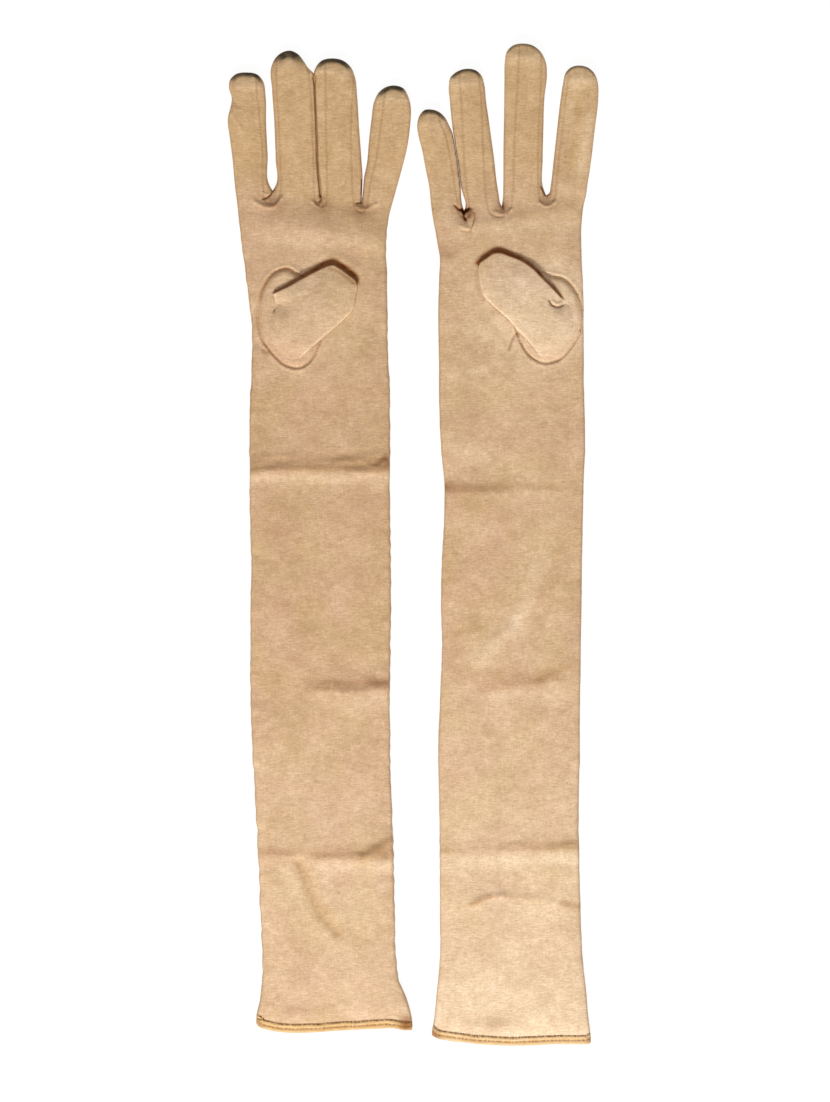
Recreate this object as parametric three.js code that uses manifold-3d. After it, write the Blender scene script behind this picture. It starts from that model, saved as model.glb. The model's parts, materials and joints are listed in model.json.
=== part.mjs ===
// A pair of opera gloves in knitted cloth, laid flat beside each other with the palms up and the
// thumbs folded over the palms. Millimetres, +Z up, fingers towards +Y, left glove on the -X side.
import * as THREE from "three";
import { mergeVertices } from "three/addons/utils/BufferGeometryUtils.js";
import Module from "manifold-3d";

const wasm = await Module();
wasm.setup();

// Driving dimensions.
const HEIGHT = 6.4; // a glove as it lies: two layers of cloth with air between them
const CLOTH = 0.9; // one layer of the soft knit
const GAP = 0.3; // between neighbouring pieces
const EDGE_ROUND = 2.4; // radius of the soft edge all round a glove
const KNUCKLE = 9; // from the finger crotches up to the line where the fingers bend
const STRIP = 0.9; // thickness of the seams and fourchettes that stand between the layers
const STRIP_INSET = 0.5; // how far they stand in from the edge
const HEM_WIDTH = 7;
const HEM_PROUD = 0.4; // the hem is doubled, so it stands out from the sleeve
const THUMB_HEIGHT = 6.2; // the thumb as it lies on the palm
const THUMB_CORNER = 5; // radius of the thumb's soft corners
const RING_WIDTH = 1.4; // the seam that sets the thumb in
const RING_PROUD = 0.2; // how far that seam stands out of the palm
const TIP_STEPS = 5; // facets in a quarter of a fingertip
const EDGE_STEPS = 36; // facets along one edge of palm and sleeve
const FAR = 1200; // larger than the whole pair, for cutting boxes

const STRIP_LOW = CLOTH + GAP;
const STRIP_HIGH = HEIGHT - CLOTH - GAP;
const PALM_LOW = HEIGHT - CLOTH;
const THUMB_LOW = HEIGHT + RING_PROUD + GAP;

// Each glove has its own frame: x from its middle towards the thumb's side, y up from the finger
// crotches. The left glove's frame is mirrored when it is placed.
// edges: [y, thumb-side edge, outer edge], folds: the pressed creases across the sleeve,
// fingers: [x at the base, width there, x at the tip, y at the tip, width there],
// thumb: its outline from the root's upper corner round the tip to the root's lower corner,
// ring: [x, y, half width, half length, tilt in degrees] of the hole that the thumb is set into.
const GLOVES = {
  left: {
    mirror: -1,
    middleX: -55.2,
    crotchY: 202.7,
    edges: [
      [0, 49.3, 42.8],
      [-24, 46.6, 39.2],
      [-94, 40.2, 40.1],
      [-158, 41.3, 41.3],
      [-310, 41, 41.9],
      [-437, 34.8, 44.3],
      [-472, 35.4, 51],
      [-491.5, 37.8, 54.5],
    ],
    folds: [-158, -285.6, -384.7],
    fingers: {
      index: [39.1, 20, 43.1, 75.5, 22],
      middle: [13.7, 24.2, 17.7, 88, 24.6],
      ring: [-12.7, 25.4, -8.3, 84.5, 24.6],
      little: [-35.4, 18, -42.7, 68, 23.2],
    },
    thumb: [
      [26.6, -54.3],
      [-8.9, -36.6],
      [-22.4, -47.2],
      [-19.5, -66.1],
      [10, -95],
    ],
    ring: [17.8, -69.6, 18.3, 29.5, -8],
  },
  right: {
    mirror: 1,
    middleX: 58.1,
    crotchY: 202.7,
    edges: [
      [0, 42.8, 48.1],
      [-35, 41.3, 42.5],
      [-118, 42, 43.1],
      [-169, 42.5, 40.1],
      [-283, 40.7, 41.3],
      [-400, 40.1, 43.1],
      [-460, 42.5, 43.2],
      [-498.4, 46.6, 47],
    ],
    folds: [-169.3, -278.5, -384.7],
    fingers: {
      index: [32.6, 20.6, 41.5, 79, 22.4],
      middle: [7, 24.6, 8, 93.2, 24.4],
      ring: [-17.4, 20.6, -27.7, 78, 22],
      little: [-38.4, 19.2, -48.4, 53.7, 18.6],
    },
    thumb: [
      [30.1, -59],
      [-9.4, -29.5],
      [-20, -38.4],
      [-16.5, -60.8],
      [16.5, -95.6],
    ],
    ring: [21.4, -70.2, 19, 28.5, -8],
  },
};

const CLOTH_FINISH = { color: 0xd6b48a, roughness: 0.95, metalness: 0 };
const SEAM_FINISH = { color: 0xb98f60, roughness: 0.9, metalness: 0 };

const at = (x, y) => new THREE.Vector2(x, y);

// Joining and cutting.
function solidOf(geometry) {
  const plain = geometry.clone();
  plain.deleteAttribute("normal");
  plain.deleteAttribute("uv");
  const merged = mergeVertices(plain, 1e-4);
  return new wasm.Manifold(
    new wasm.Mesh({
      numProp: 3,
      vertProperties: new Float32Array(merged.attributes.position.array),
      triVerts: new Uint32Array(merged.index.array),
    }),
  );
}

function geometryOf(solid) {
  const mesh = solid.getMesh();
  const geometry = new THREE.BufferGeometry();
  geometry.setAttribute("position", new THREE.BufferAttribute(mesh.vertProperties, 3));
  geometry.setIndex(new THREE.BufferAttribute(mesh.triVerts, 1));
  return geometry;
}

// Everything between two levels along one axis ("y" or "z").
function layer(axis, low, high) {
  const size = { x: FAR, y: FAR, z: FAR };
  const centre = { x: 0, y: 0, z: 0 };
  size[axis] = high - low;
  centre[axis] = (low + high) / 2;
  const box = new THREE.BoxGeometry(size.x, size.y, size.z);
  return solidOf(box.translate(centre.x, centre.y, centre.z));
}

// A flat slab of an outline between two heights.
function slab(points, low, high) {
  const geometry = new THREE.ExtrudeGeometry(new THREE.Shape(points), {
    depth: high - low,
    bevelEnabled: false,
  });
  return solidOf(geometry.translate(0, 0, low));
}

// The same with a round edge, drawn in from the outline by an inset.
function pillow(points, low, high, round, inset = 0) {
  const geometry = new THREE.ExtrudeGeometry(new THREE.Shape(points), {
    depth: high - low - 2 * round,
    bevelThickness: round,
    bevelSize: round,
    bevelOffset: -round - inset,
    bevelSegments: 2,
  });
  return solidOf(geometry.translate(0, 0, low + round));
}

// Palm and sleeve.
function edgePoints(edges, column, inset = 0) {
  const sign = column === 1 ? 1 : -1;
  const line = new THREE.SplineCurve(edges.map((row) => at(sign * (row[column] - inset), row[0])));
  return line.getPoints(EDGE_STEPS);
}

// The outline from the crotches to the cuff, run on past both by a margin.
function bodyOutline(edges, margin) {
  const thumbSide = edgePoints(edges, 1);
  const outerSide = edgePoints(edges, 2).reverse();
  const [cuff, cuffOuter] = [thumbSide.at(-1), outerSide[0]];
  return [
    at(thumbSide[0].x, margin),
    ...thumbSide,
    at(cuff.x, cuff.y - margin),
    at(cuffOuter.x, cuffOuter.y - margin),
    ...outerSide,
    at(outerSide.at(-1).x, margin),
  ];
}

// A seam that follows one edge of the hand, from a crease up to the crotches.
function edgeStrip(edges, column, fromY, toY) {
  const outside = edgePoints(edges, column, STRIP_INSET);
  const inside = edgePoints(edges, column, STRIP_INSET + STRIP).reverse();
  return slab([...outside, ...inside], STRIP_LOW, STRIP_HIGH).intersect(layer("y", fromY, toY));
}

// Fingers.
function fingerFrame([baseX, baseWidth, tipX, tipY, tipWidth]) {
  const base = at(baseX, 0);
  const along = at(tipX, tipY).sub(base).normalize();
  const across = at(along.y, -along.x);
  const cap = at(tipX, tipY).addScaledVector(along, -tipWidth / 2);
  return { base, along, across, cap, baseHalf: baseWidth / 2, tipHalf: tipWidth / 2 };
}

// One side of a finger and its half of the round tip.
function fingerSide(finger, sign, fromY, inset = 0) {
  const { base, along, across, cap, baseHalf, tipHalf } = finger;
  const radius = tipHalf - inset;
  const low = base.clone().addScaledVector(across, sign * (baseHalf - inset));
  const high = cap.clone().addScaledVector(across, sign * radius);
  const points = [low.clone().lerp(high, (fromY - low.y) / (high.y - low.y))];
  for (let i = 0; i <= TIP_STEPS; i++) {
    const turn = (i / TIP_STEPS) * (Math.PI / 2);
    points.push(
      cap
        .clone()
        .addScaledVector(across, sign * radius * Math.cos(turn))
        .addScaledVector(along, radius * Math.sin(turn)),
    );
  }
  return points;
}

function fingerOutline(finger, fromY, inset = 0) {
  const outer = fingerSide(finger, -1, fromY, inset).reverse().slice(1);
  return [...fingerSide(finger, 1, fromY, inset), ...outer];
}

function fingerStrip(finger, sign) {
  const fromY = KNUCKLE + GAP / 2;
  const outside = fingerSide(finger, sign, fromY, STRIP_INSET);
  const inside = fingerSide(finger, sign, fromY, STRIP_INSET + STRIP).reverse();
  const half = [...outside, ...inside];
  // The two strips of a finger stop short of each other at the tip.
  const tip = finger.cap.clone().addScaledVector(finger.along, finger.tipHalf);
  const parting = new THREE.BoxGeometry(GAP, 2 * finger.tipHalf, FAR)
    .rotateZ(Math.atan2(-finger.along.x, finger.along.y))
    .translate(tip.x, tip.y, 0);
  return slab(half, STRIP_LOW, STRIP_HIGH).subtract(solidOf(parting));
}

// The quirk: a small gusset round the crotch between two neighbouring fingers.
function quirk(towardsThumb, away) {
  const top = KNUCKLE - GAP / 2;
  const wall = (finger, sign, inset) => {
    const [upper] = fingerSide(finger, sign, top, inset);
    const [lower] = fingerSide(finger, sign, 0, inset);
    return { upper, lower };
  };
  const inner = STRIP_INSET;
  const outer = STRIP_INSET + STRIP;
  const [a, b] = [wall(towardsThumb, -1, inner), wall(towardsThumb, -1, outer)];
  const [c, d] = [wall(away, 1, inner), wall(away, 1, outer)];
  return slab(
    [
      b.upper,
      at(b.lower.x, -outer),
      at(d.lower.x, -outer),
      d.upper,
      c.upper,
      at(c.lower.x, -inner),
      at(a.lower.x, -inner),
      a.upper,
    ],
    STRIP_LOW,
    STRIP_HIGH,
  );
}

// Thumb.
function roundedOutline(corners, radius) {
  const shape = new THREE.Path();
  corners.forEach((corner, i) => {
    const [x, y] = corner;
    const here = at(x, y);
    const before = at(...corners.at(i - 1)).sub(here);
    const after = at(...corners[(i + 1) % corners.length]).sub(here);
    const from = here.clone().addScaledVector(before.normalize(), radius);
    const to = here.clone().addScaledVector(after.normalize(), radius);
    if (i === 0) shape.moveTo(from.x, from.y);
    else shape.lineTo(from.x, from.y);
    shape.quadraticCurveTo(here.x, here.y, to.x, to.y);
  });
  return shape.getPoints(4);
}

function ringOutline([x, y, halfWidth, halfLength, tilt], grow = 0) {
  const turn = THREE.MathUtils.degToRad(tilt);
  const curve = new THREE.EllipseCurve(
    x,
    y,
    halfWidth + grow,
    halfLength + grow,
    0,
    2 * Math.PI,
    false,
    turn,
  );
  return curve.getPoints(32).slice(1);
}

// The thumb folds along its root line, between the first and the last corner of its outline.
function rootLine(corners) {
  const [top, low] = [at(...corners[0]), at(...corners.at(-1))];
  const middle = top.clone().add(low).multiplyScalar(0.5);
  const outwards = top.clone().sub(low).rotateAround(at(0, 0), -Math.PI / 2).normalize();
  return { top, low, middle, outwards };
}

// Everything on one side of the root line, from a margin outside it (+) or inside it (-).
function besideRoot({ middle, outwards }, side, margin) {
  const box = new THREE.BoxGeometry(FAR, FAR, FAR)
    .translate(side * (FAR / 2 + margin), 0, 0)
    .rotateZ(Math.atan2(outwards.y, outwards.x))
    .translate(middle.x, middle.y, 0);
  return solidOf(box);
}

// The thumb is a sock: closed at the tip, open along the root where it leaves the palm.
function thumbSolid(corners) {
  const root = rootLine(corners);
  const beyond = (corner) => {
    const point = corner.clone().addScaledVector(root.outwards, 2 * THUMB_CORNER);
    return [point.x, point.y];
  };
  const closed = [beyond(root.top), ...corners, beyond(root.low)];
  const outline = roundedOutline(closed, THUMB_CORNER);
  const top = THUMB_LOW + THUMB_HEIGHT;
  const skin = pillow(outline, THUMB_LOW, top, EDGE_ROUND);
  const hollow = pillow(outline, THUMB_LOW + CLOTH, top - CLOTH, EDGE_ROUND / 2, CLOTH);
  return skin.subtract(hollow).subtract(besideRoot(root, 1, 0));
}

// The cloth between the thumb and its seam, on the side of the fold that the thumb leaves bare.
function thumbBase(ringSizes, corners) {
  const patch = slab(ringOutline(ringSizes, -GAP), PALM_LOW, HEIGHT);
  return patch.subtract(besideRoot(rootLine(corners), -1, -GAP));
}

function makeGlove(side, glove) {
  const group = new THREE.Group();
  const add = (name, solid, finish = CLOTH_FINISH) => {
    const mesh = new THREE.Mesh(geometryOf(solid), new THREE.MeshStandardMaterial(finish));
    mesh.name = `${side}_${name}`;
    group.add(mesh);
  };
  const { edges, folds } = glove;
  const cuffEnd = edges.at(-1)[0];
  const fingers = Object.entries(glove.fingers).map(([name, sizes]) => ({
    name,
    ...fingerFrame(sizes),
  }));

  // The hand: one panel on the palm's side and one on the back, seamed along both edges.
  const body = pillow(bodyOutline(edges, 3 * EDGE_ROUND), 0, HEIGHT, EDGE_ROUND);
  const stubs = fingers
    .map((finger) => pillow(fingerOutline(finger, -EDGE_ROUND), 0, HEIGHT, EDGE_ROUND))
    .reduce((all, one) => all.add(one))
    .intersect(layer("y", -1, KNUCKLE - GAP / 2));
  const hand = body.intersect(layer("y", folds[0] + GAP / 2, 0)).add(stubs);
  const thumbHole = slab(ringOutline(glove.ring, RING_WIDTH + GAP), 0, FAR);
  add("palm_panel", hand.intersect(layer("z", PALM_LOW, HEIGHT)).subtract(thumbHole));
  add("back_panel", hand.intersect(layer("z", 0, CLOTH)));
  add("thumb_side_seam", edgeStrip(edges, 1, folds[0] + GAP / 2, 0), SEAM_FINISH);
  add("outer_side_seam", edgeStrip(edges, 2, folds[0] + GAP / 2, 0), SEAM_FINISH);

  // Four fingers, each of a palm side, a back, and a strip along either side.
  fingers.forEach((finger, i) => {
    const whole = pillow(fingerOutline(finger, 0), 0, HEIGHT, EDGE_ROUND);
    const free = whole.intersect(layer("y", KNUCKLE + GAP / 2, FAR));
    add(`${finger.name}_palm_side`, free.intersect(layer("z", PALM_LOW, HEIGHT)));
    add(`${finger.name}_back_side`, free.intersect(layer("z", 0, CLOTH)));
    const outermost = { index: "index_side_seam", little: "little_side_seam" };
    const strips = [
      [1, i === 0 ? outermost.index : `${finger.name}_fourchette_thumb_side`],
      [-1, i === 3 ? outermost.little : `${finger.name}_fourchette_outer_side`],
    ];
    for (const [sign, name] of strips) add(name, fingerStrip(finger, sign), SEAM_FINISH);
    const next = fingers[i + 1];
    if (next) add(`${finger.name}_${next.name}_quirk`, quirk(finger, next), SEAM_FINISH);
  });

  // The thumb: its base fills the outer part of the ring, and the thumb is folded inwards over the rest.
  const welt = slab(ringOutline(glove.ring, RING_WIDTH), PALM_LOW, HEIGHT + RING_PROUD);
  add("thumb_seam", welt.subtract(slab(ringOutline(glove.ring), 0, FAR)), SEAM_FINISH);
  add("thumb_base", thumbBase(glove.ring, glove.thumb));
  add("thumb", thumbSolid(glove.thumb));

  // The sleeve: a tube in three lengths between its pressed creases, and the hem.
  const hollow = pillow(
    bodyOutline(edges, 6 * EDGE_ROUND),
    CLOTH,
    HEIGHT - CLOTH,
    EDGE_ROUND / 2,
    CLOTH + STRIP_INSET,
  );
  const hemTop = cuffEnd + HEM_WIDTH;
  const lengths = [
    ["forearm_sleeve", folds[1] + GAP / 2, folds[0] - GAP / 2],
    ["middle_sleeve", folds[2] + GAP / 2, folds[1] - GAP / 2],
    ["cuff_sleeve", hemTop + GAP / 2, folds[2] - GAP / 2],
  ];
  const tube = body.subtract(hollow);
  for (const [name, low, high] of lengths) add(name, tube.intersect(layer("y", low, high)));
  const hemSkin = pillow(
    bodyOutline(edges, 3 * EDGE_ROUND),
    0,
    HEIGHT + HEM_PROUD,
    EDGE_ROUND,
    -HEM_PROUD,
  );
  add("hem", hemSkin.subtract(hollow).intersect(layer("y", cuffEnd, hemTop - GAP / 2)));

  group.scale.x = glove.mirror;
  group.position.set(glove.middleX, glove.crotchY, 0);
  return group;
}

const pair = new THREE.Group();
for (const [side, glove] of Object.entries(GLOVES)) pair.add(makeGlove(side, glove));

// The origin is on the resting surface, under the middle of the pair.
const middle = new THREE.Box3().setFromObject(pair).getCenter(new THREE.Vector3());
pair.position.set(-middle.x, -middle.y, 0);
pair.updateMatrixWorld(true);

export default pair;
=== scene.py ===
"""A pair of knitted opera gloves laid flat, palms up, thumbs folded over the palms.

Each glove is drawn as a plan in its own frame, in millimetres: x from its middle towards the thumb's
side, y up from the finger crotches. Its palm side gets its height from one function and its back from
another, and the two are cut into the glove's real pieces, each a layer of cloth with a thickness.
"""
import json
import math

import bpy
import numpy as np
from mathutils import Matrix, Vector
from mathutils.geometry import delaunay_2d_cdt
from mathutils.kdtree import KDTree


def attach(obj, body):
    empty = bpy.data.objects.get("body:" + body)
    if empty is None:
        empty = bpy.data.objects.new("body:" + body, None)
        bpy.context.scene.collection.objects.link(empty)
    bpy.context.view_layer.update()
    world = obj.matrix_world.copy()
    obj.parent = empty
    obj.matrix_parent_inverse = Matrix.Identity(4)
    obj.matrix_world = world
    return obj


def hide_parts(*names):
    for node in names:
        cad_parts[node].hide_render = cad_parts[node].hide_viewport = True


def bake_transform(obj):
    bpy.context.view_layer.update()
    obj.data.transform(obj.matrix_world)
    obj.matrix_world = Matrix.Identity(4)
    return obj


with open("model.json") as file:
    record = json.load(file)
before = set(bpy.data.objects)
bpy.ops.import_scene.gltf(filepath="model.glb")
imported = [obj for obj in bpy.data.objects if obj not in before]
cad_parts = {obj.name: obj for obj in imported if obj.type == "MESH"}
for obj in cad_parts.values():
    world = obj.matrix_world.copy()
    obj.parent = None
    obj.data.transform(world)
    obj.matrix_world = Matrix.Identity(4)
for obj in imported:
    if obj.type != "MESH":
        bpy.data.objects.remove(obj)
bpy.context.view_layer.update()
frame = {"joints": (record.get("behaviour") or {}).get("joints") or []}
joints = {joint["name"]: joint for joint in frame["joints"]}

MM = 0.001

# ---------------------------------------------------------------------------------------------- dimensions
CLOTH = 0.6  # one layer of jersey
EDGE_Z = 2.0  # height at which the palm side and the back meet along an edge
EDGE_RISE = 2.7  # how far the soft edge lifts the palm side
EDGE_RADIUS = 2.1  # over this distance from the edge
TIP_REACH = 8.0
CROWN = 1.2  # further rise towards the middle
CROWN_REACH = 11.0
FLOOR_GAP = 0.2  # the back of a glove above the table
BACK_RADIUS = 1.8
KNUCKLE = 9.0  # from the crotches up to the line where the fingers bend
SEAM_BAND = 1.1  # width of the side seams
SEAM_STEP = 0.8  # spacing of the points along a seam
STITCH_PITCH = 1.9
SEAM_GROOVE = 0.34  # depth of the groove along a sewn seam
SEAM_LIP = 0.14  # height of the lips beside it
HOLE_GROOVE = 0.95  # the same for the seam round the thumb's hole
HOLE_LIP = 0.35
AT_EDGE = (0.3, 1.2)  # seams and folds fade out between these distances from the edge
LOOSE_EDGE = (0.5, 7)  # and the cloth's unevenness between these
TOUCHING_RADIUS = 0.9  # radius of the edge where two fingers touch
FAR_SIDE = 70  # further from a glove's middle than its sides
NOT_A_FINGER = 1e6  # stands for the height of the tip above an edge that belongs to no finger
QUIRK_LOW = -16  # the quirks end above this
WELT = 0.75  # half width of the seam round the thumb's hole
HEM = 5.4  # width of the hem
HEM_ROWS = (2.3, 4.9)  # the hem's rows of stitching, above the cuff's edge
HEM_PROUD = 0.75  # how far the hem stands out
ROW_DEPTHS = (0.42, 0.45)  # of the grooves along its rows of stitching
CUFF_FLAT = (14, 0.42)  # over this distance from its edge the cuff lies flatter, by this share
HEM_PITCH = 2.3  # from one of its stitches to the next
HEM_STITCH = 1.7  # length of a stitch
STITCH_WIDTH = 0.5
STITCH_RINGS = 5
STITCH_SIDES = 6
SLEEVE_LAP = 12.0  # a sleeve length starts this far above its fold
OUTLINE_STEP = 1.1
FACE_STEP = 2.0  # spacing of the mesh over the palm side
BACK_STEP = 3.6
INSETS = (0.45, 1.1, 2.1, 3.6)  # extra rows of points along the edges
HEM_INSETS = (0.4, 0.9, 1.7, 2.3, 2.9, 3.7, 4.4, 4.9, 5.7, 6.4)
SWELL = 1.25  # how far the thumb's base stands above the palm round it
SWELL_REACH = 3.6  # over this distance from its seam
THUMB_RISE = 2.5  # height of the folded thumb above the palm
THUMB_BOX = ((-26, -102), (42, -28))  # the palm round the thumb, which has a finer mesh
THUMB_STEP = 1.25
THUMB_GRID = 1.7  # spacing of the mesh of the thumb itself
THUMB_LIFT = 11.0  # over this distance from its melting edge the thumb rises
THUMB_SHADOW = 0.97  # the darkest painted shadow beside the thumb
BEND_STEP = (1.3, 1.6)  # mesh spacing where the glove bends, on the palm side and on the back
FINGER_BAND = (4, 17)  # the fingers' roots, from and to above the crotches
BESIDE_SEAM = (-1.9, -1.2, -0.55, 0.55, 1.2, 1.9)  # rows of points beside a seam
BESIDE_FOLD = (-1.8, -1.1, -0.5, 0, 0.5, 1.1, 1.8)  # and along a small fold, in widths of the fold
POINTS_APART = 0.42  # two points of a mesh are no closer than this
NOISE_APART = 700  # the right glove's noise is taken from this far away, so that the gloves differ
TIP_GLOW = 0.05  # how much lighter a painted highlight makes the cloth below a fingertip
RIDGE_HIGHLIGHT = 0.11  # and along a ridge of a fold, a painted highlight
# painted shade along the glove's outline
EDGE_SHADE = 0.22
# Unevenness of cloth that lies loose: height, wavelength, squeeze along y, seed, number of waves
LOOSE = ((0.30, 26, 0.62, 7, 7), (0.11, 8.5, 0.7, 8, 11))
# How a crease wanders: height, wavelength, first seed
WANDER = ((1.0, 34, 40), (0.4, 10, 50))

FINGERS = ("index", "middle", "ring", "little")
# Each length of the sleeve: its piece, the two bodies that it lies between, and the number of its fold
SLEEVES = (
    ("forearm_sleeve", "hand", "forearm", 1),
    ("middle_sleeve", "forearm", "middle_sleeve", 2),
    ("cuff_sleeve", "middle_sleeve", "cuff", 3),
)

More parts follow.
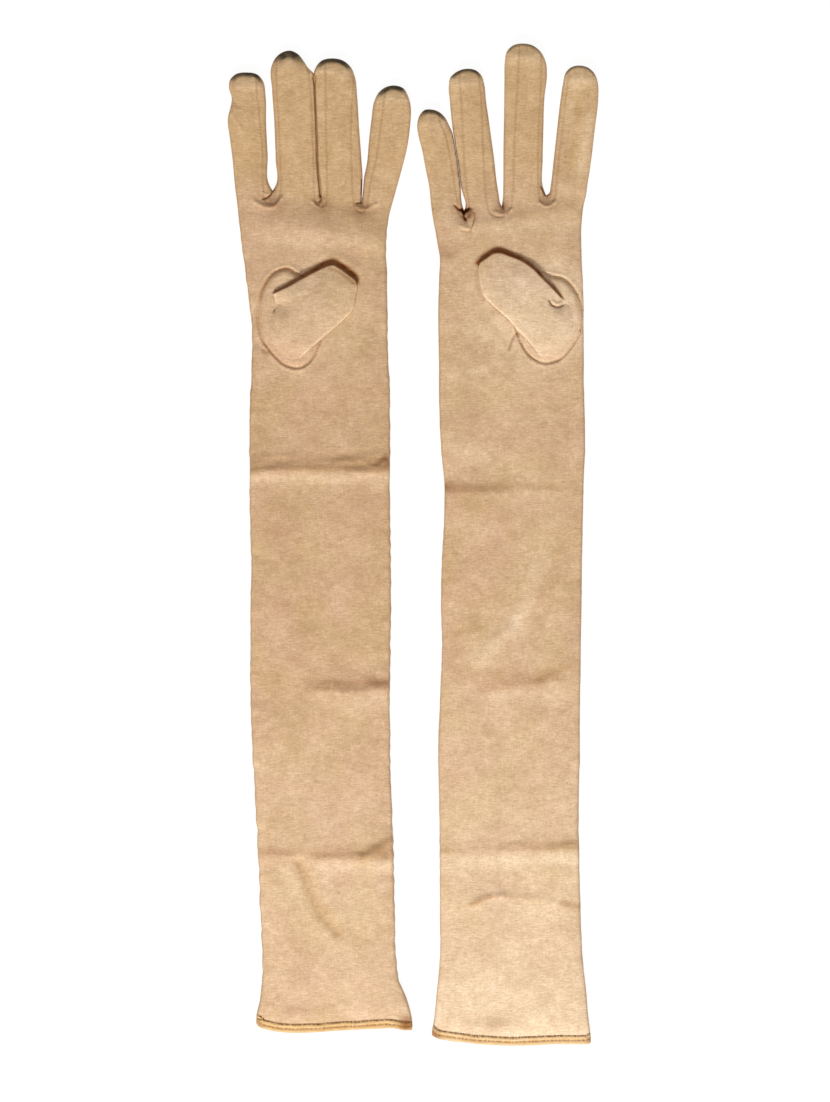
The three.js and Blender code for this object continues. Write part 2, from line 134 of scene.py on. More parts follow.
# Each glove in its own frame, in millimetres. Outlines run anticlockwise.
LEFT = {
    "side": "left",
    # how light the cloth is, by y
    "tone": [
        (-480, 1.06), (-420, 1.055), (-330, 1.03), (-230, 0.975), (-190, 0.968), (-100, 1.005), (-20, 1),
        (30, 1.015), (60, 1.02),
    ],
    # painted shade on the fingertips whose edge faces away from the light: its reach, its strength and the
    # tip's edge radius
    "tips": [(2.8, 1, 3.6), (5.2, 1, 5), (3.4, 1, 4), (3.6, 1, 4.4)],
    # outline: up the thumb's side, round the four fingers, down the outer side, along the cuff
    "thumb_edge": [
        (37.7, -486), (37.6, -482), (35.4, -472), (34.2, -460), (34.2, -448), (36, -401), (38.3, -354),
        (40.7, -307), (41.3, -265), (40.7, -212), (41.3, -190), (41.3, -118), (40.1, -88), (40.7, -71),
        (43.6, -47), (46.6, -24), (49.2, 0),
    ],
    "index": [
        (50.1, 7), (51.9, 26), (53.1, 35.4), (54.2, 50), (53.3, 53.3), (52.2, 60.7), (53.8, 66),
        (53.3, 70.8), (50.1, 74.3), (43.3, 75.5), (37.1, 74.3), (33.6, 70.2), (32.2, 61.9), (31.8, 44.2),
        (30.9, 26.5), (30.1, 9.5), (28, 5.6),
    ],
    "middle": [
        (25.9, 9.4), (26.2, 23.6), (27.1, 47.2), (28.3, 64.9), (28.7, 79), (26.5, 83.8), (22.4, 87.3),
        (17.7, 88.4), (13.5, 86.7), (9.4, 81.8), (6.8, 78), (4, 75.2), (3.3, 64.9), (2.3, 41.3),
        (1.4, 17.7), (0.2, 5.9), (-0.2, 2.3),
    ],
    "ring": [
        (-0.25, 5.9), (1.05, 17.7), (1.98, 41.3), (2.98, 64.9), (3.3, 76.7), (1.7, 79.9), (-1.2, 82.6),
        (-6.5, 83.8), (-14.2, 82.2), (-18.3, 78.4), (-20.7, 72.5), (-21.9, 61.9), (-23, 44.2),
        (-24.5, 23.6), (-25.1, 14.1), (-24.9, 5.9), (-24.4, -1.8),
    ],
    "little": [
        (-25.4, 5.9), (-26, 13.5), (-27.5, 20.6), (-28.9, 35.4), (-30.4, 48.3), (-32, 58.4),
        (-34.3, 63.1), (-37.8, 66.3), (-44.3, 67.8), (-49, 66.3), (-52.2, 61.1), (-53.7, 54.2),
        (-53.4, 46), (-51.6, 31.8), (-47.8, 16.5), (-44.9, 5.9), (-42.4, -3),
    ],
    "outer_edge": [
        (-41.3, -7), (-39, -24), (-39.6, -47), (-40.2, -88), (-41.3, -118), (-41.3, -177), (-41.9, -248),
        (-41.3, -283), (-41.9, -342), (-43.1, -377), (-44.3, -425), (-44.9, -448), (-46.6, -460),
        (-51.4, -472), (-54.3, -484), (-54.6, -488), (-54.2, -490),
    ],
    "cuff": [
        (-50, -490), (-43, -488.8), (-35, -489), (-22, -489.6), (-8, -490.4), (8, -491.4), (22, -491.2),
        (32, -489.4), (36, -488),
    ],
    # the seams round each gap between fingers; the fourchettes lie between a seam and the gap
    "webs": [
        [(37.7, 77), (37.4, 67.8), (35.6, 50), (34, 31.8), (33.4, 7.3), (33, 2), (31.2, -1.8),
         (27.8, -2.8), (24.7, 0), (23.4, 6), (23.5, 23.6), (24.5, 47.2), (25.7, 64.9), (25.9, 78),
         (25.5, 90)],
        [(9.2, 90), (7.4, 80), (5.8, 70), (4.9, 56), (4.3, 41.3), (3.5, 17.7), (3.1, 4), (1.8, -2.6),
         (-0.8, -3.8), (-3.2, -2.2), (-4.1, 2), (-4.2, 7.3), (-3.8, 30), (-3.4, 60), (-3.1, 80),
         (-3.1, 90)],
        [(-20.2, 82), (-19.9, 72), (-19, 56), (-18.4, 41.6), (-19, 15), (-19.4, 5), (-20.2, -2),
         (-22.2, -6.2), (-24.8, -7.2), (-27.2, -5), (-28.3, 0), (-29.6, 10), (-33, 24), (-35.4, 40),
         (-37.2, 54), (-39.6, 72)],
    ],
    # creases: y, height, width above, width below, x from, x to, painted shade above, painted highlight
    # below
    "folds": [
        (-160.6, 1.35, 8.5, 5.5, -60, 60, 0.14, 0.09), (-290.2, 1.15, 6, 7.5, -60, 4, 0.12, 0.05),
        (-389.6, 1.1, 7, 5.5, -60, 2, 0.09, 0.05), (-387, 0.4, 4, 4, 10, 60, 0.07, 0),
    ],
    # offset from the fingers' base, height, width
    "knuckle_ridge": (-20, 1.15, 7),
    # the hole that the thumb is sewn into
    "ring_hole": [
        (12, -44.7), (19.1, -40.4), (27, -42.6), (33.5, -50.5), (36.4, -61), (36.4, -72), (33.6, -83),
        (27.5, -91), (20, -97.6), (12.4, -99.1), (5.6, -94.6), (1.3, -86), (-1.5, -74), (-1.2, -60),
        (4.5, -50),
    ],
    # the folded thumb: its free edge, and the edge that melts into its base
    "thumb_free": [
        (26.2, -62.5), (26.9, -59), (27.6, -55.1), (25, -53.8), (18.8, -50.9), (11.8, -46.9),
        (2.9, -42.1), (-3, -39.3), (-7.7, -38.1), (-11.8, -40.1), (-16.6, -43.7), (-21.2, -47.4),
        (-22.1, -49.2), (-21.3, -56.7), (-19.1, -65.6), (-14.8, -70.2), (-8.9, -75.6), (0, -83.2),
        (7, -89.4), (11.2, -93.6), (13, -94.6),
    ],
    "thumb_melt": [
        (16, -95.6), (21, -93.8), (26, -89.6), (29.4, -84), (30.4, -78), (30.2, -71), (28.7, -66.4),
        (27.3, -63.6),
    ],
    # painted shadow on the palm beside the thumb's edge: x, y, half width
    "thumb_shade": [
        (27, -54.4, 1.1), (18.8, -50.1, 1.3), (11.8, -45.9, 1.6), (2.9, -41, 2.2), (-3, -37.9, 3),
        (-8, -36.6, 3.2), (-12.6, -38.9, 2.5), (-17, -42.2, 3.2), (-21.4, -46.2, 2.4), (-22.4, -49, 0.9),
    ],
    # light and dark areas, some of them painted light and shade such as the light band below the fingers:
    # x, y, half width, half height, amount
    "glow": [
        (8, -68, 34, 32, 0.05), (0, -23.5, 38, 5.5, 0.05), (-12, -222, 15, 40, 0.02),
        (14, -440, 20, 24, -0.02),
    ],
    # light and dark strokes, mostly painted highlights and shade beside the folds: x and y of both ends,
    # half width, amount
    "streaks": [
        (-8, -284.6, -41, -281.5, 3, -0.08), (-26, -387, -41, -377.8, 2.4, -0.1),
        (12.4, -390.5, -0.9, -422.2, 3.4, -0.075), (-0.9, -422.2, -11, -432.2, 3.4, -0.065),
        (-24.3, -310.4, -29.3, -308.8, 1.6, -0.08), (20, -396, 8, -424, 3.5, 0.03),
        (-6, -262, -10, -300, 5, -0.02), (30, -384.4, -24, -386, 1.6, -0.05),
        (40, -120, 30, -148, 4, -0.02),
    ],
    # how far the side seams gather their edges
    "pucker": 0.42,
    # where two fingers touch, and their edges are rounded less
    "touching": [(0.1, 4), (1.2, 17.7), (2.15, 41.3), (3.15, 64.9), (3.7, 77)],
    # small folds: path, height, width, and painted shade in the fold (a painted highlight where it is below
    # 0)
    "nicks": [
        ([(38.4, -1), (33.4, -3.9), (27.7, -4.2), (22.6, 1)], 1.05, 1.3, -1),
        ([(33.9, 0.4), (31.6, 1.2), (29.3, 3), (27.9, 5.6)], -0.9, 0.5, 1.2),
        ([(33.6, 4.2), (31.6, 3.2), (30.2, 3.8)], 0.4, 0.6, -0.6),
        ([(0, 3), (-0.6, 0), (0.9, -1.2)], -0.8, 0.45, 1),
        ([(4.7, -1), (0.5, -3.9), (-1.9, 0.4)], 0.75, 0.8, -1),
        ([(-24.6, 12), (-24.4, 4), (-23.9, -1.4), (-21.6, -2)], -0.9, 0.5, 1.25),
        ([(-21.4, -4), (-25.6, -5.4), (-33.4, -2.4)], 0.85, 1.2, -1),
        ([(52, 52), (48.4, 45), (45, 40)], 0.45, 1.5, 0),
        ([(52.6, 60), (49.6, 56), (47, 55)], -0.4, 1.6, 0.2),
        ([(-6, -32), (-13.5, -35), (-22, -41)], 0.5, 2.6, -0.3),
        ([(32.2, -85.8), (31.2, -87.4)], 0.8, 1, -0.2),
        ([(33.8, -88.4), (30.8, -90)], -0.5, 1.1, 0.4),
        ([(0.1, 2), (1.2, 17.7), (2.15, 41.3), (3.15, 64.9), (3.7, 77)], -0.2, 0.36, 1.35),
        ([(-38.6, -154), (-34, -157), (-28, -156.4)], 0.6, 1.4, -0.3),
        ([(-39, -150), (-34, -153)], -0.5, 1.6, 0.3),
        ([(-24, -388), (-33, -384), (-41, -378)], 0.9, 2.8, 0.18),
        ([(13, -391), (7, -404), (-0.9, -422), (-10, -432)], -0.7, 2.8, 0.03),
    ],
    "thumb_nicks": [
        ([(18, -62.4), (12, -59.5), (6, -55.5), (0, -50.5)], -0.3, 2.8, 0.1),
        ([(23.5, -57.4), (12, -54)], 0.3, 4, 0),
        ([(-6, -40.6), (-11, -42.6), (-16, -46.2), (-20.4, -49.8)], 0, 1.3, 0.5),
        ([(21.5, -92.6), (28, -88)], -0.4, 0.9, 0.2),
        ([(27.1, -57.5), (26.3, -61), (23.4, -62.8)], -0.12, 0.6, 0.45),
    ],
    # stains, some of them painted shade along the creases and below the fingers: x, y, half width, half
    # height, strength
    "stains_and_shade": [
        (-51, -486, 4.5, 4.5, 0.9), (14, -478.5, 15, 4.5, 0.32), (16, -93.2, 6, 1.8, 0.25),
        (-34, -285, 9, 2.4, 0.3), (-36, -383.5, 6, 3.6, 0.3), (22, -67, 6, 3, 0.1),
        (51, 68, 2.5, 6, 0.28), (35, 70, 2.5, 5, 0.28), (13, 80, 5, 4, 0.18), (26, 79, 3, 3, 0.18),
        (-8, 67, 5, 4, 0.18), (-18.5, 72, 2.5, 6, 0.3), (36, -487, 3, 3, 0.35), (27, -2, 6, 5, 0.3),
        (-1, -3, 5, 5, 0.35), (-25, -6, 5, 6, 0.4), (-38, -154, 5, 4, 0.5), (-16, -157.8, 26, 1.6, 0.18),
        (22, -157, 16, 1.5, 0.14), (8, -151.5, 30, 1.8, 0.08), (0, -7.5, 44, 4.5, 0.14),
        (-20, -386, 20, 1.8, 0.12), (-20, -285, 22, 1.6, 0.18),
    ],
}
RIGHT = {
    "side": "right",
    "tone": [
        (-490, 1.15), (-420, 1.09), (-330, 1.05), (-235, 1.005), (-100, 1.03), (-20, 1.03), (60, 1.02),
    ],
    "tips": [(1.4, 0.7, 2.4), (1.5, 0.6, 2.5), (2.4, 0.95, 3.2), (2.8, 0.95, 3.4)],
    "thumb_edge": [
        (46.7, -497), (46.4, -492), (45.4, -484), (44.3, -472), (43.1, -460), (41.9, -448), (40.7, -425),
        (40.1, -401), (39.5, -354), (40.1, -330), (40.1, -307), (40.7, -271), (41.3, -224), (41.9, -189),
        (42.5, -165), (43.1, -153), (42.5, -106), (41.9, -47), (41.3, -35), (41.3, -12), (42.5, -2.4),
    ],
    "index": [
        (43.7, 2.3), (44.6, 8.8), (46, 17.7), (49, 41.9), (51.1, 61.9), (51, 68.1), (49, 74.6),
        (44.9, 78.4), (40.1, 79.6), (34.8, 78.4), (31.9, 75.5), (30.1, 68.4), (28.9, 60.7), (26.3, 38.3),
        (24.5, 22.4), (22.9, 8.8), (21.9, 4.1), (20.2, 2.9),
    ],
    "middle": [
        (18.3, 8.2), (18.2, 23.6), (18.6, 41.3), (19.3, 61.3), (20.7, 73.7), (20.1, 81.4), (17.1, 87.6),
        (12.4, 91.4), (6.5, 92.6), (0.6, 91.4), (-2.9, 87.9), (-4.2, 81.4), (-4.4, 70.8), (-4.6, 53.1),
        (-5, 29.5), (-5.1, 8.8), (-5.3, 1.1), (-6, -3.6),
    ],
    "ring": [
        (-6.9, -1.8), (-7.7, 2.9), (-8.5, 7.6), (-10.6, 25.3), (-12.4, 38.3), (-14, 50.1), (-15.3, 59),
        (-16.3, 68.4), (-18, 73.7), (-21.2, 76.7), (-26.5, 77.7), (-32.7, 75.8), (-36.3, 72.5),
        (-37.3, 67.2), (-36.7, 59), (-35.7, 48.3), (-34.7, 40), (-34, 35.6), (-33.3, 31), (-31.85, 22.4),
        (-30.7, 13), (-29.9, 7), (-28.4, 2), (-27.4, -1.6), (-27.4, -4), (-28.2, -6),
    ],
    "little": [
        (-28.9, -4.2), (-29.7, -0.4), (-30.2, 7), (-30.86, 13), (-32, 22.4), (-33.45, 31), (-34.22, 35.6),
        (-35.2, 40), (-37.2, 44.6), (-39.5, 48.9), (-43.6, 52.5), (-48.4, 53.7), (-51.4, 53.4),
        (-54.3, 50.4), (-55.9, 44.8), (-55.2, 38.3), (-53.4, 31.2), (-51, 18.9), (-48.7, 7.1),
        (-47.8, -2.4),
    ],
    "outer_edge": [
        (-47.2, -7), (-44.2, -24), (-42.5, -35), (-43, -47), (-43.4, -59), (-43, -106), (-43, -118),
        (-41.3, -153), (-40.1, -165), (-40.1, -190), (-41.3, -212), (-41.9, -236), (-41.3, -265),
        (-42.5, -295), (-43.6, -330), (-43, -354), (-42.5, -425), (-42.5, -448), (-43.6, -460),
        (-44.8, -472), (-46, -484), (-47.2, -491), (-47.2, -493),
    ],
    "cuff": [
        (-45, -494.4), (-38, -496), (-28, -497.2), (-16, -498.4), (-4, -499), (10, -498.9), (24, -498.2),
        (36, -498.2), (43, -498.2), (46, -497.8),
    ],
    "webs": [
        [(34.2, 84), (33.4, 75), (32.2, 64), (29.6, 41), (27.6, 24), (26, 8.8), (25.2, 1.5), (23.6, -1.8),
         (20.5, -3), (17.4, -1.4), (16, 4), (15.6, 14), (15.7, 30), (16.2, 48), (17, 64), (17.6, 78),
         (16.8, 95)],
        [(4.6, 96), (4.1, 85.5), (3, 64), (1.8, 43.6), (1, 22), (0.4, 4), (-1.2, -5), (-4.6, -9.2),
         (-9, -10), (-12.6, -7.8), (-14.6, -2), (-15.8, 10), (-17, 34), (-17.7, 56), (-19, 70),
         (-20.4, 82)],
        [(-31.8, 82), (-31, 72), (-30.1, 61.3), (-28.8, 34), (-26.6, 6), (-25.2, -4), (-25.6, -9),
         (-28, -11), (-30.8, -8.5), (-31.9, -2), (-33.2, 6), (-35.8, 22.4), (-39.4, 39), (-42.4, 47),
         (-44, 60)],
    ],
    "folds": [
        (-173, 0.6, 5, 8, -60, -8, 0.14, -0.04), (-171.7, 0.3, 4, 6, -10, 32, 0.07, 0),
        (-285.6, 0.5, 7, 8, -20, 30, 0.05, 0.05), (-384.1, 0.5, 6, 8, -60, -6, 0.03, 0.07),
        (-383.6, 0.8, 5, 7, -6, 60, 0.07, 0.09),
    ],
    "knuckle_ridge": (-9.5, 0.5, 4.2),
    "ring_hole": [
        (17.1, -43.4), (23.6, -44.7), (31, -46.6), (36.9, -52.5), (40.9, -61.2), (41.5, -70.4),
        (39.5, -79), (34.8, -86.8), (27.7, -94.1), (17.7, -96.1), (10.6, -92.1), (5.3, -84.2), (3, -77),
        (1.6, -66), (4.6, -54), (10, -46),
    ],
    "thumb_free": [
        (30.6, -59.6), (29.6, -58.2), (24.3, -52.2), (17.8, -45.8), (11.8, -39.8), (5.3, -35.5),
        (-1, -33), (-7.8, -30.9), (-11, -31.3), (-15.4, -34.2), (-19.7, -37.5), (-20.2, -39.8),
        (-19, -50), (-16.7, -57.3), (-13.4, -60.6), (-8, -65.6), (-2.3, -70.5), (3, -77), (9.6, -83.7),
        (15, -90.6), (18.1, -94.2),
    ],
    "thumb_melt": [
        (21.5, -94.3), (27, -91.6), (32.4, -85.6), (36.2, -78.5), (36.9, -71), (35.6, -64.4), (33, -60.6),
    ],
    "thumb_shade": [
        (30, -58.2, 1.2), (24.8, -52, 1.2), (18.2, -45.5, 1.2), (12.2, -39.4, 1.9), (5.6, -34.9, 2.3),
        (-1, -32.2, 2.7), (-7.8, -29.9, 3.1), (-11.6, -30.9, 3), (-16.2, -33.8, 3.2), (-20.2, -37.2, 2.2),
    ],
    "glow": [
        (12, -64, 36, 34, 0.1), (6, -16, 34, 4.5, 0.035), (4, -30, 40, 6, -0.03),
        (18, -210, 16, 60, 0.02), (38, 44, 12, 36, 0.035),
    ],
    "streaks": [
        (18, -214, 2.7, -248.7, 6, 0.06), (2.7, -248.7, -20.6, -272.1, 6, 0.065),
        (30, -200, 14, -236, 6, -0.03), (-40.7, -257.7, -20, -253.1, 1.5, -0.1),
        (-17.3, -288.8, 16, -283.1, 2, -0.12), (16, -283.1, 32.7, -275.4, 2, -0.12),
        (-24, -415.8, -13, -411.2, 1.3, -0.15), (-13, -411.2, 10, -411.4, 1.5, -0.05),
        (-10, -416, 32.7, -422, 5, 0.035), (29.4, -414.5, 39.4, -417.2, 2.3, -0.1),
        (-40, -384, -6, -386, 1.8, -0.05), (10, -385, 40, -381.5, 1.8, -0.05),
        (-34, -144, -16, -152, 6, 0.05), (-36, -104, -16, -100, 1.8, 0.06), (44, 66, 36, 22, 3, -0.03),
        (40, 60, 33, 14, 1.6, -0.05), (46, 50, 40, 14, 2.4, 0.04),
    ],
    "pucker": 0.16,
    "touching": [(-30, 6.5), (-30.8, 13), (-31.9, 22.4), (-33.4, 31), (-35, 40.6)],
    "nicks": [
        ([(-33.6, -3.4), (-31.2, -5.8), (-28.4, -7)], -0.8, 0.8, 1.15),
        ([(-28.4, -7), (-26.6, -6.4), (-25.2, -4.8)], -0.9, 1.1, 1.3),
        ([(-28.4, -7.4), (-28.4, -9.6), (-27.2, -12.2)], -1.1, 0.95, 1.3),
        ([(-24.2, -7), (-24, -8.6), (-25.4, -10.8)], 1, 1.5, 0.7),
        ([(-22.1, -7.4), (-22.4, -12), (-24.6, -18.4)], -0.6, 0.45, 0.75),
        ([(-30.2, -15.4), (-27.4, -16.6), (-25.2, -17)], 0.6, 1.1, -0.8),
        ([(-30, -18.2), (-25, -19)], -0.2, 0.6, 0.3),
        ([(-5.4, -2), (-5.2, -4.6)], -0.9, 1, 1.1),
        ([(-0.6, -5.6), (-4.6, -8.4), (-9.5, -7.2)], 0.75, 1.1, -0.9),
        ([(17.1, 7.8), (18, 6.2), (18.7, 4.4), (20.2, 2.6)], -0.7, 0.5, 1.2),
        ([(16, -1.4), (20.5, -3.4), (24.8, -1.4)], 0.75, 1.1, -0.9),
        ([(3, -78.3), (0.4, -82), (-1.6, -88.2)], -0.55, 1, 0.5),
        ([(6, -84.5), (10.5, -90.6), (15.5, -94)], 0, 1.2, 0.35),
        ([(-21, -42), (-20.4, -50), (-17.6, -58)], -0.4, 1.2, 0.12),
        ([(-30, 6.5), (-30.8, 13), (-31.9, 22.4), (-33.4, 31), (-35, 40.6)], -0.2, 0.4, 1.3),
        ([(-29.9, -5.4), (-26.8, -5.8)], -0.5, 1.1, 1.3),
        ([(-24, -416), (-15, -411.4), (-5, -410.4)], 0.8, 2, 0.1),
        ([(-5, -410.4), (16, -413), (39, -418)], 0.4, 2.6, 0),
        ([(22, -208), (3, -248), (-20, -272)], 0.6, 4.5, 0),
    ],
    "thumb_nicks": [
        ([(21.9, -59.6), (23.4, -62.2), (26.6, -63.5), (29.6, -62.4), (31, -60.4)], -0.9, 0.7, 0.9),
        ([(23.2, -59.6), (26.6, -61.4), (29.4, -60.4)], 0.5, 0.8, -0.7),
        ([(2, -58), (-6, -52)], -0.3, 4, 0.05),
    ],
    "stains_and_shade": [
        (-46, -494, 4, 4, 0.75), (45, -496, 3, 3, 0.3), (-27.5, -7, 3.5, 3.5, 0.5),
        (-23.5, -8.5, 2.2, 3, 0.3), (-5, -3.5, 4, 4, 0.55), (20, 2, 4, 6, 0.4), (31, 24, 4, 10, 0.22),
        (-44, 24, 4, 8, 0.12), (0, -8, 46, 4, 0.07), (-24, -170.8, 18, 2.4, 0.2),
        (20, -382.6, 22, 1.8, 0.12), (-40, -169.5, 4, 2.6, 0.5), (-41, -29.5, 7, 3.6, 0.26),
        (-38, -33, 5, 2.2, 0.26), (-23, -126, 5, 9, 0.14), (-10, -485.5, 13, 4, 0.24),
    ],
}

# ------------------------------------------------------------------------------------------- plan geometry
def smooth_line(points, step):
    """A smooth curve through the points, with a point about every step."""
    p = np.array(points, float)
    gaps = np.linalg.norm(np.diff(p, axis=0), axis=1)
    at = np.concatenate([[0], np.cumsum(gaps)])
    slope = np.gradient(p, at, axis=0)
    count = max(2, int(round(at[-1] / step)) + 1)
    s = np.linspace(0, at[-1], count)
    i = np.clip(np.searchsorted(at, s, side="right") - 1, 0, len(p) - 2)
    h = (at[i + 1] - at[i])[:, None]
    t = (s[:, None] - at[i][:, None]) / h
    a = p[i] * (2 * t**3 - 3 * t**2 + 1) + slope[i] * h * (t**3 - 2 * t**2 + t)
    return a + p[i + 1] * (3 * t**2 - 2 * t**3) + slope[i + 1] * h * (t**3 - t**2)


def inward(line):
    """Unit normals on the left of a line, which is the inside of an outline that runs anticlockwise."""
    run = np.gradient(line, axis=0)
    run /= np.maximum(np.linalg.norm(run, axis=1), 1e-9)[:, None]
    return np.stack([-run[:, 1], run[:, 0]], axis=1)


def inside(points, polygon):
    """Which points lie in a closed polygon."""
    x, y = points[:, 0], points[:, 1]
    result = np.zeros(len(points), bool)
    for (ax, ay), (bx, by) in zip(polygon, np.roll(polygon, -1, axis=0), strict=True):
        if ay != by:
            crosses = (ay > y) != (by > y)
            result ^= crosses & (x < (bx - ax) * (y - ay) / (by - ay) + ax)
    return result


class Nearest:
    """Distance to a line, measured on the line's segments next to its nearest point."""

    def __init__(self, line):
        self.line = np.array(line, float)
        self.tree = KDTree(len(line))
        for i, (x, y) in enumerate(line):
            self.tree.insert((x, y, 0), i)
        self.tree.balance()

    def __call__(self, points):
        found = [self.tree.find((x, y, 0)) for x, y in points]
        index = np.array([f[1] for f in found])
        best = np.array([f[2] for f in found])
        for step in (-1, 1):
            other = np.clip(index + step, 0, len(self.line) - 1)
            a, b = self.line[index], self.line[other]
            run = b - a
            length = np.maximum((run**2).sum(1), 1e-12)
            t = np.clip(((points - a) * run).sum(1) / length, 0, 1)
            best = np.minimum(best, np.linalg.norm(points - a - run * t[:, None], axis=1))
        return best, index


def smoothstep(low, high, x):
    """0 below low, 1 above high, and a smooth rise between them."""
    t = np.clip((x - low) / (high - low), 0, 1)
    return t * t * (3 - 2 * t)


def bump(x, centre, width):
    """1 at the centre, fading to both sides."""
    return np.exp(-(((x - centre) / width) ** 2))


def round_rise(distance, radius):
    """0 at an edge, rising as a quarter circle to 1 at the radius."""
    t = 1 - np.clip(distance / radius, 0, 1)
    return np.sqrt(1 - t * t)


def ripple(x, y, wavelength, seed, waves=7):
    """Soft random unevenness between about -1 and 1, the same each time for one seed."""
    random = np.random.default_rng(seed)
    total = np.zeros_like(x)
    for _ in range(waves):
        turn = random.uniform(0, 2 * math.pi)
        length = wavelength * random.uniform(0.7, 1.5)
        phase = random.uniform(0, 2 * math.pi)
        total += np.sin(2 * math.pi * (x * math.cos(turn) + y * math.sin(turn)) / length + phase)
    return total / math.sqrt(waves * 2)


def hex_grid(low, high, step):
    """Rows of points over a box, every second row shifted by half a step."""
    rows = np.arange(low[1], high[1], step * 0.866)
    cols = np.arange(low[0], high[0], step)
    x, y = np.meshgrid(cols, rows)
    x = x + (np.arange(len(rows)) % 2)[:, None] * step / 2
    return np.stack([x.ravel(), y.ravel()], axis=1)


def triangulate(outline, lines, extra):
    """Triangles of the plan inside a closed outline, with every line kept as edges."""
    points = [tuple(p) for p in outline]
    edges = [(i, (i + 1) % len(outline)) for i in range(len(outline))]
    face = list(range(len(outline)))
    for line in lines:
        first = len(points)
        points += [tuple(p) for p in line]
        edges += [(first + i, first + i + 1) for i in range(len(line) - 1)]
    points += [tuple(p) for p in extra]
    result = delaunay_2d_cdt([Vector(p) for p in points], edges, [face], 1, 1e-4)
    return np.array([tuple(v) for v in result[0]]), np.array([tuple(f) for f in result[2]])


# -------------------------------------------------------------------------------------------- glove plans
class Plan:
    """The outline of one glove, its seams, and the heights of its palm side and back."""

    def __init__(self, spec):
        self.spec = spec
        name = spec["side"]
        start = joints[f"{name}_sleeve_fold_1"]["pos_m"][0]
        spec["mirror"] = -1 if name == "left" else 1
        spec["origin"] = (start, joints[f"{name}_middle_bend"]["pos_m"][1] - KNUCKLE * MM)
        self.crotches = np.array([spec[f][-1] for f in FINGERS[:3]], float)
        self.draw_outline()
        self.draw_seams()

    def draw_outline(self):
        spec, crotches = self.spec, [tuple(c) for c in self.crotches]
        runs = [
            spec["thumb_edge"] + spec["index"],
            [crotches[0]] + spec["middle"],
            [crotches[1]] + spec["ring"],
            [crotches[2]] + spec["little"] + spec["outer_edge"],
            [spec["outer_edge"][-1]] + spec["cuff"] + [spec["thumb_edge"][0]],
        ]
        chains = [smooth_line(run, OUTLINE_STEP) for run in runs]
        for i, seed in ((0, 3), (3, 4)):
            chains[i] = self.wavy(chains[i], seed)
        chains[4][0], chains[4][-1] = chains[3][-1], chains[0][0]
        self.chains = chains
        self.cuff = Nearest(chains[4])
        self.outline = np.concatenate([c[:-1] for c in chains])
        self.edge_line = np.concatenate([c[:-1] for c in chains[:4]] + [chains[3][-1:]])
        self.edge = Nearest(self.edge_line)
        finger = np.concatenate([np.full(len(c) - 1, i) for i, c in enumerate(chains[:4])] + [[3]])
        tips = np.array([c[:, 1].max() for c in chains[:4]])
        self.edge_finger = finger
        self.edge_tip = np.where(self.edge_line[:, 1] > 4, tips[finger], NOT_A_FINGER)
        top = [int(np.argmax(c[:, 1])) for c in chains[:4]]
        first = np.cumsum([0] + [len(c) - 1 for c in chains[:3]])
        place = np.arange(len(self.edge_line)) - first[finger]
        self.edge_outer = place > np.array(top)[finger]
        self.edge_up = -inward(self.edge_line)[:, 1]

    def wavy(self, line, seed):
        """A line with the small waves of an edge that the side seam gathers, away from fingers and cuff."""
        y = line[:, 1]
        low = self.spec["thumb_edge"][0][1]
        size = smoothstep(-6, -24, y) * smoothstep(low + 6, low + 26, y) * self.spec["pucker"]
        shift = 0.6 * ripple(y * 0, y, 17, seed) + 0.45 * ripple(y * 0, y, 6.5, seed + 20)
        return line + inward(line) * (size * shift)[:, None]

    def draw_seams(self):
        spec = self.spec
        self.webs = [smooth_line(web, SEAM_STEP) for web in spec["webs"]]
        ring = spec["ring_hole"]
        self.ring = smooth_line(ring + [ring[0]], SEAM_STEP)[:-1]
        lines = [*self.webs, np.concatenate([self.ring, self.ring[:1]])]
        self.seams = [Nearest(line) for line in lines]
        ends = [(FAR_SIDE, 4.0)] + [tuple(c) for c in self.crotches] + [(-FAR_SIDE, -4.5)]
        self.base_line = np.array(ends, float)
        heights = [joints[f"{spec['side']}_sleeve_fold_{i}"]["pos_m"][1] for i in (1, 2, 3)]
        folds = [(height - spec["origin"][1]) / MM for height in heights]
        self.fold_lines = folds
        self.touching = Nearest(smooth_line(spec["touching"], SEAM_STEP))
        self.cuts = [folds[0] + SLEEVE_LAP, (folds[0] + folds[1]) / 2, (folds[1] + folds[2]) / 2]

    def base_y(self, x):
        """The line across the crotches, where the fingers are cut from the hand."""
        line = self.base_line[::-1]
        return np.interp(x, line[:, 0], line[:, 1])

    def seam_depth(self, points):
        """Distance to the nearest seam, and the place along it."""
        near = np.full(len(points), 99.0)
        along = np.zeros(len(points))
        for seam in self.seams:
            distance, index = seam(points)
            closer = distance < near
            near = np.where(closer, distance, near)
            along = np.where(closer, index * SEAM_STEP, along)
        return near, along

    def nicks(self, key, points):
        """The heights of a list of small folds, and their painted shade, which is below 0 where they carry
        a painted highlight.
        """
        z, soil_and_shade = np.zeros(len(points)), np.zeros(len(points))
        for path, height, width, painted_shade in self.spec[key]:
            reach = 3 * width
            low, high = np.min(path, axis=0) - reach, np.max(path, axis=0) + reach
            close = np.all((points > low) & (points < high), axis=1)
            if close.any():
                distance, _ = Nearest(smooth_line(path, 0.5))(points[close])
                z[close] += height * bump(distance, 0, width)
                soil_and_shade[close] += painted_shade * bump(distance, 0, width * 0.85)
        return z, soil_and_shade

    def crease(self, n, x, y):
        """The distance above crease n, which wanders a little, and how strong the crease is at x."""
        at, low, high = self.spec["folds"][n][0], *self.spec["folds"][n][4:6]
        shift = sum(size * ripple(x, x * 0, length, seed + n) for size, length, seed in WANDER)
        window = smoothstep(low - 9, low + 9, x) * (1 - smoothstep(high - 9, high + 9, x))
        return y - at - shift, window

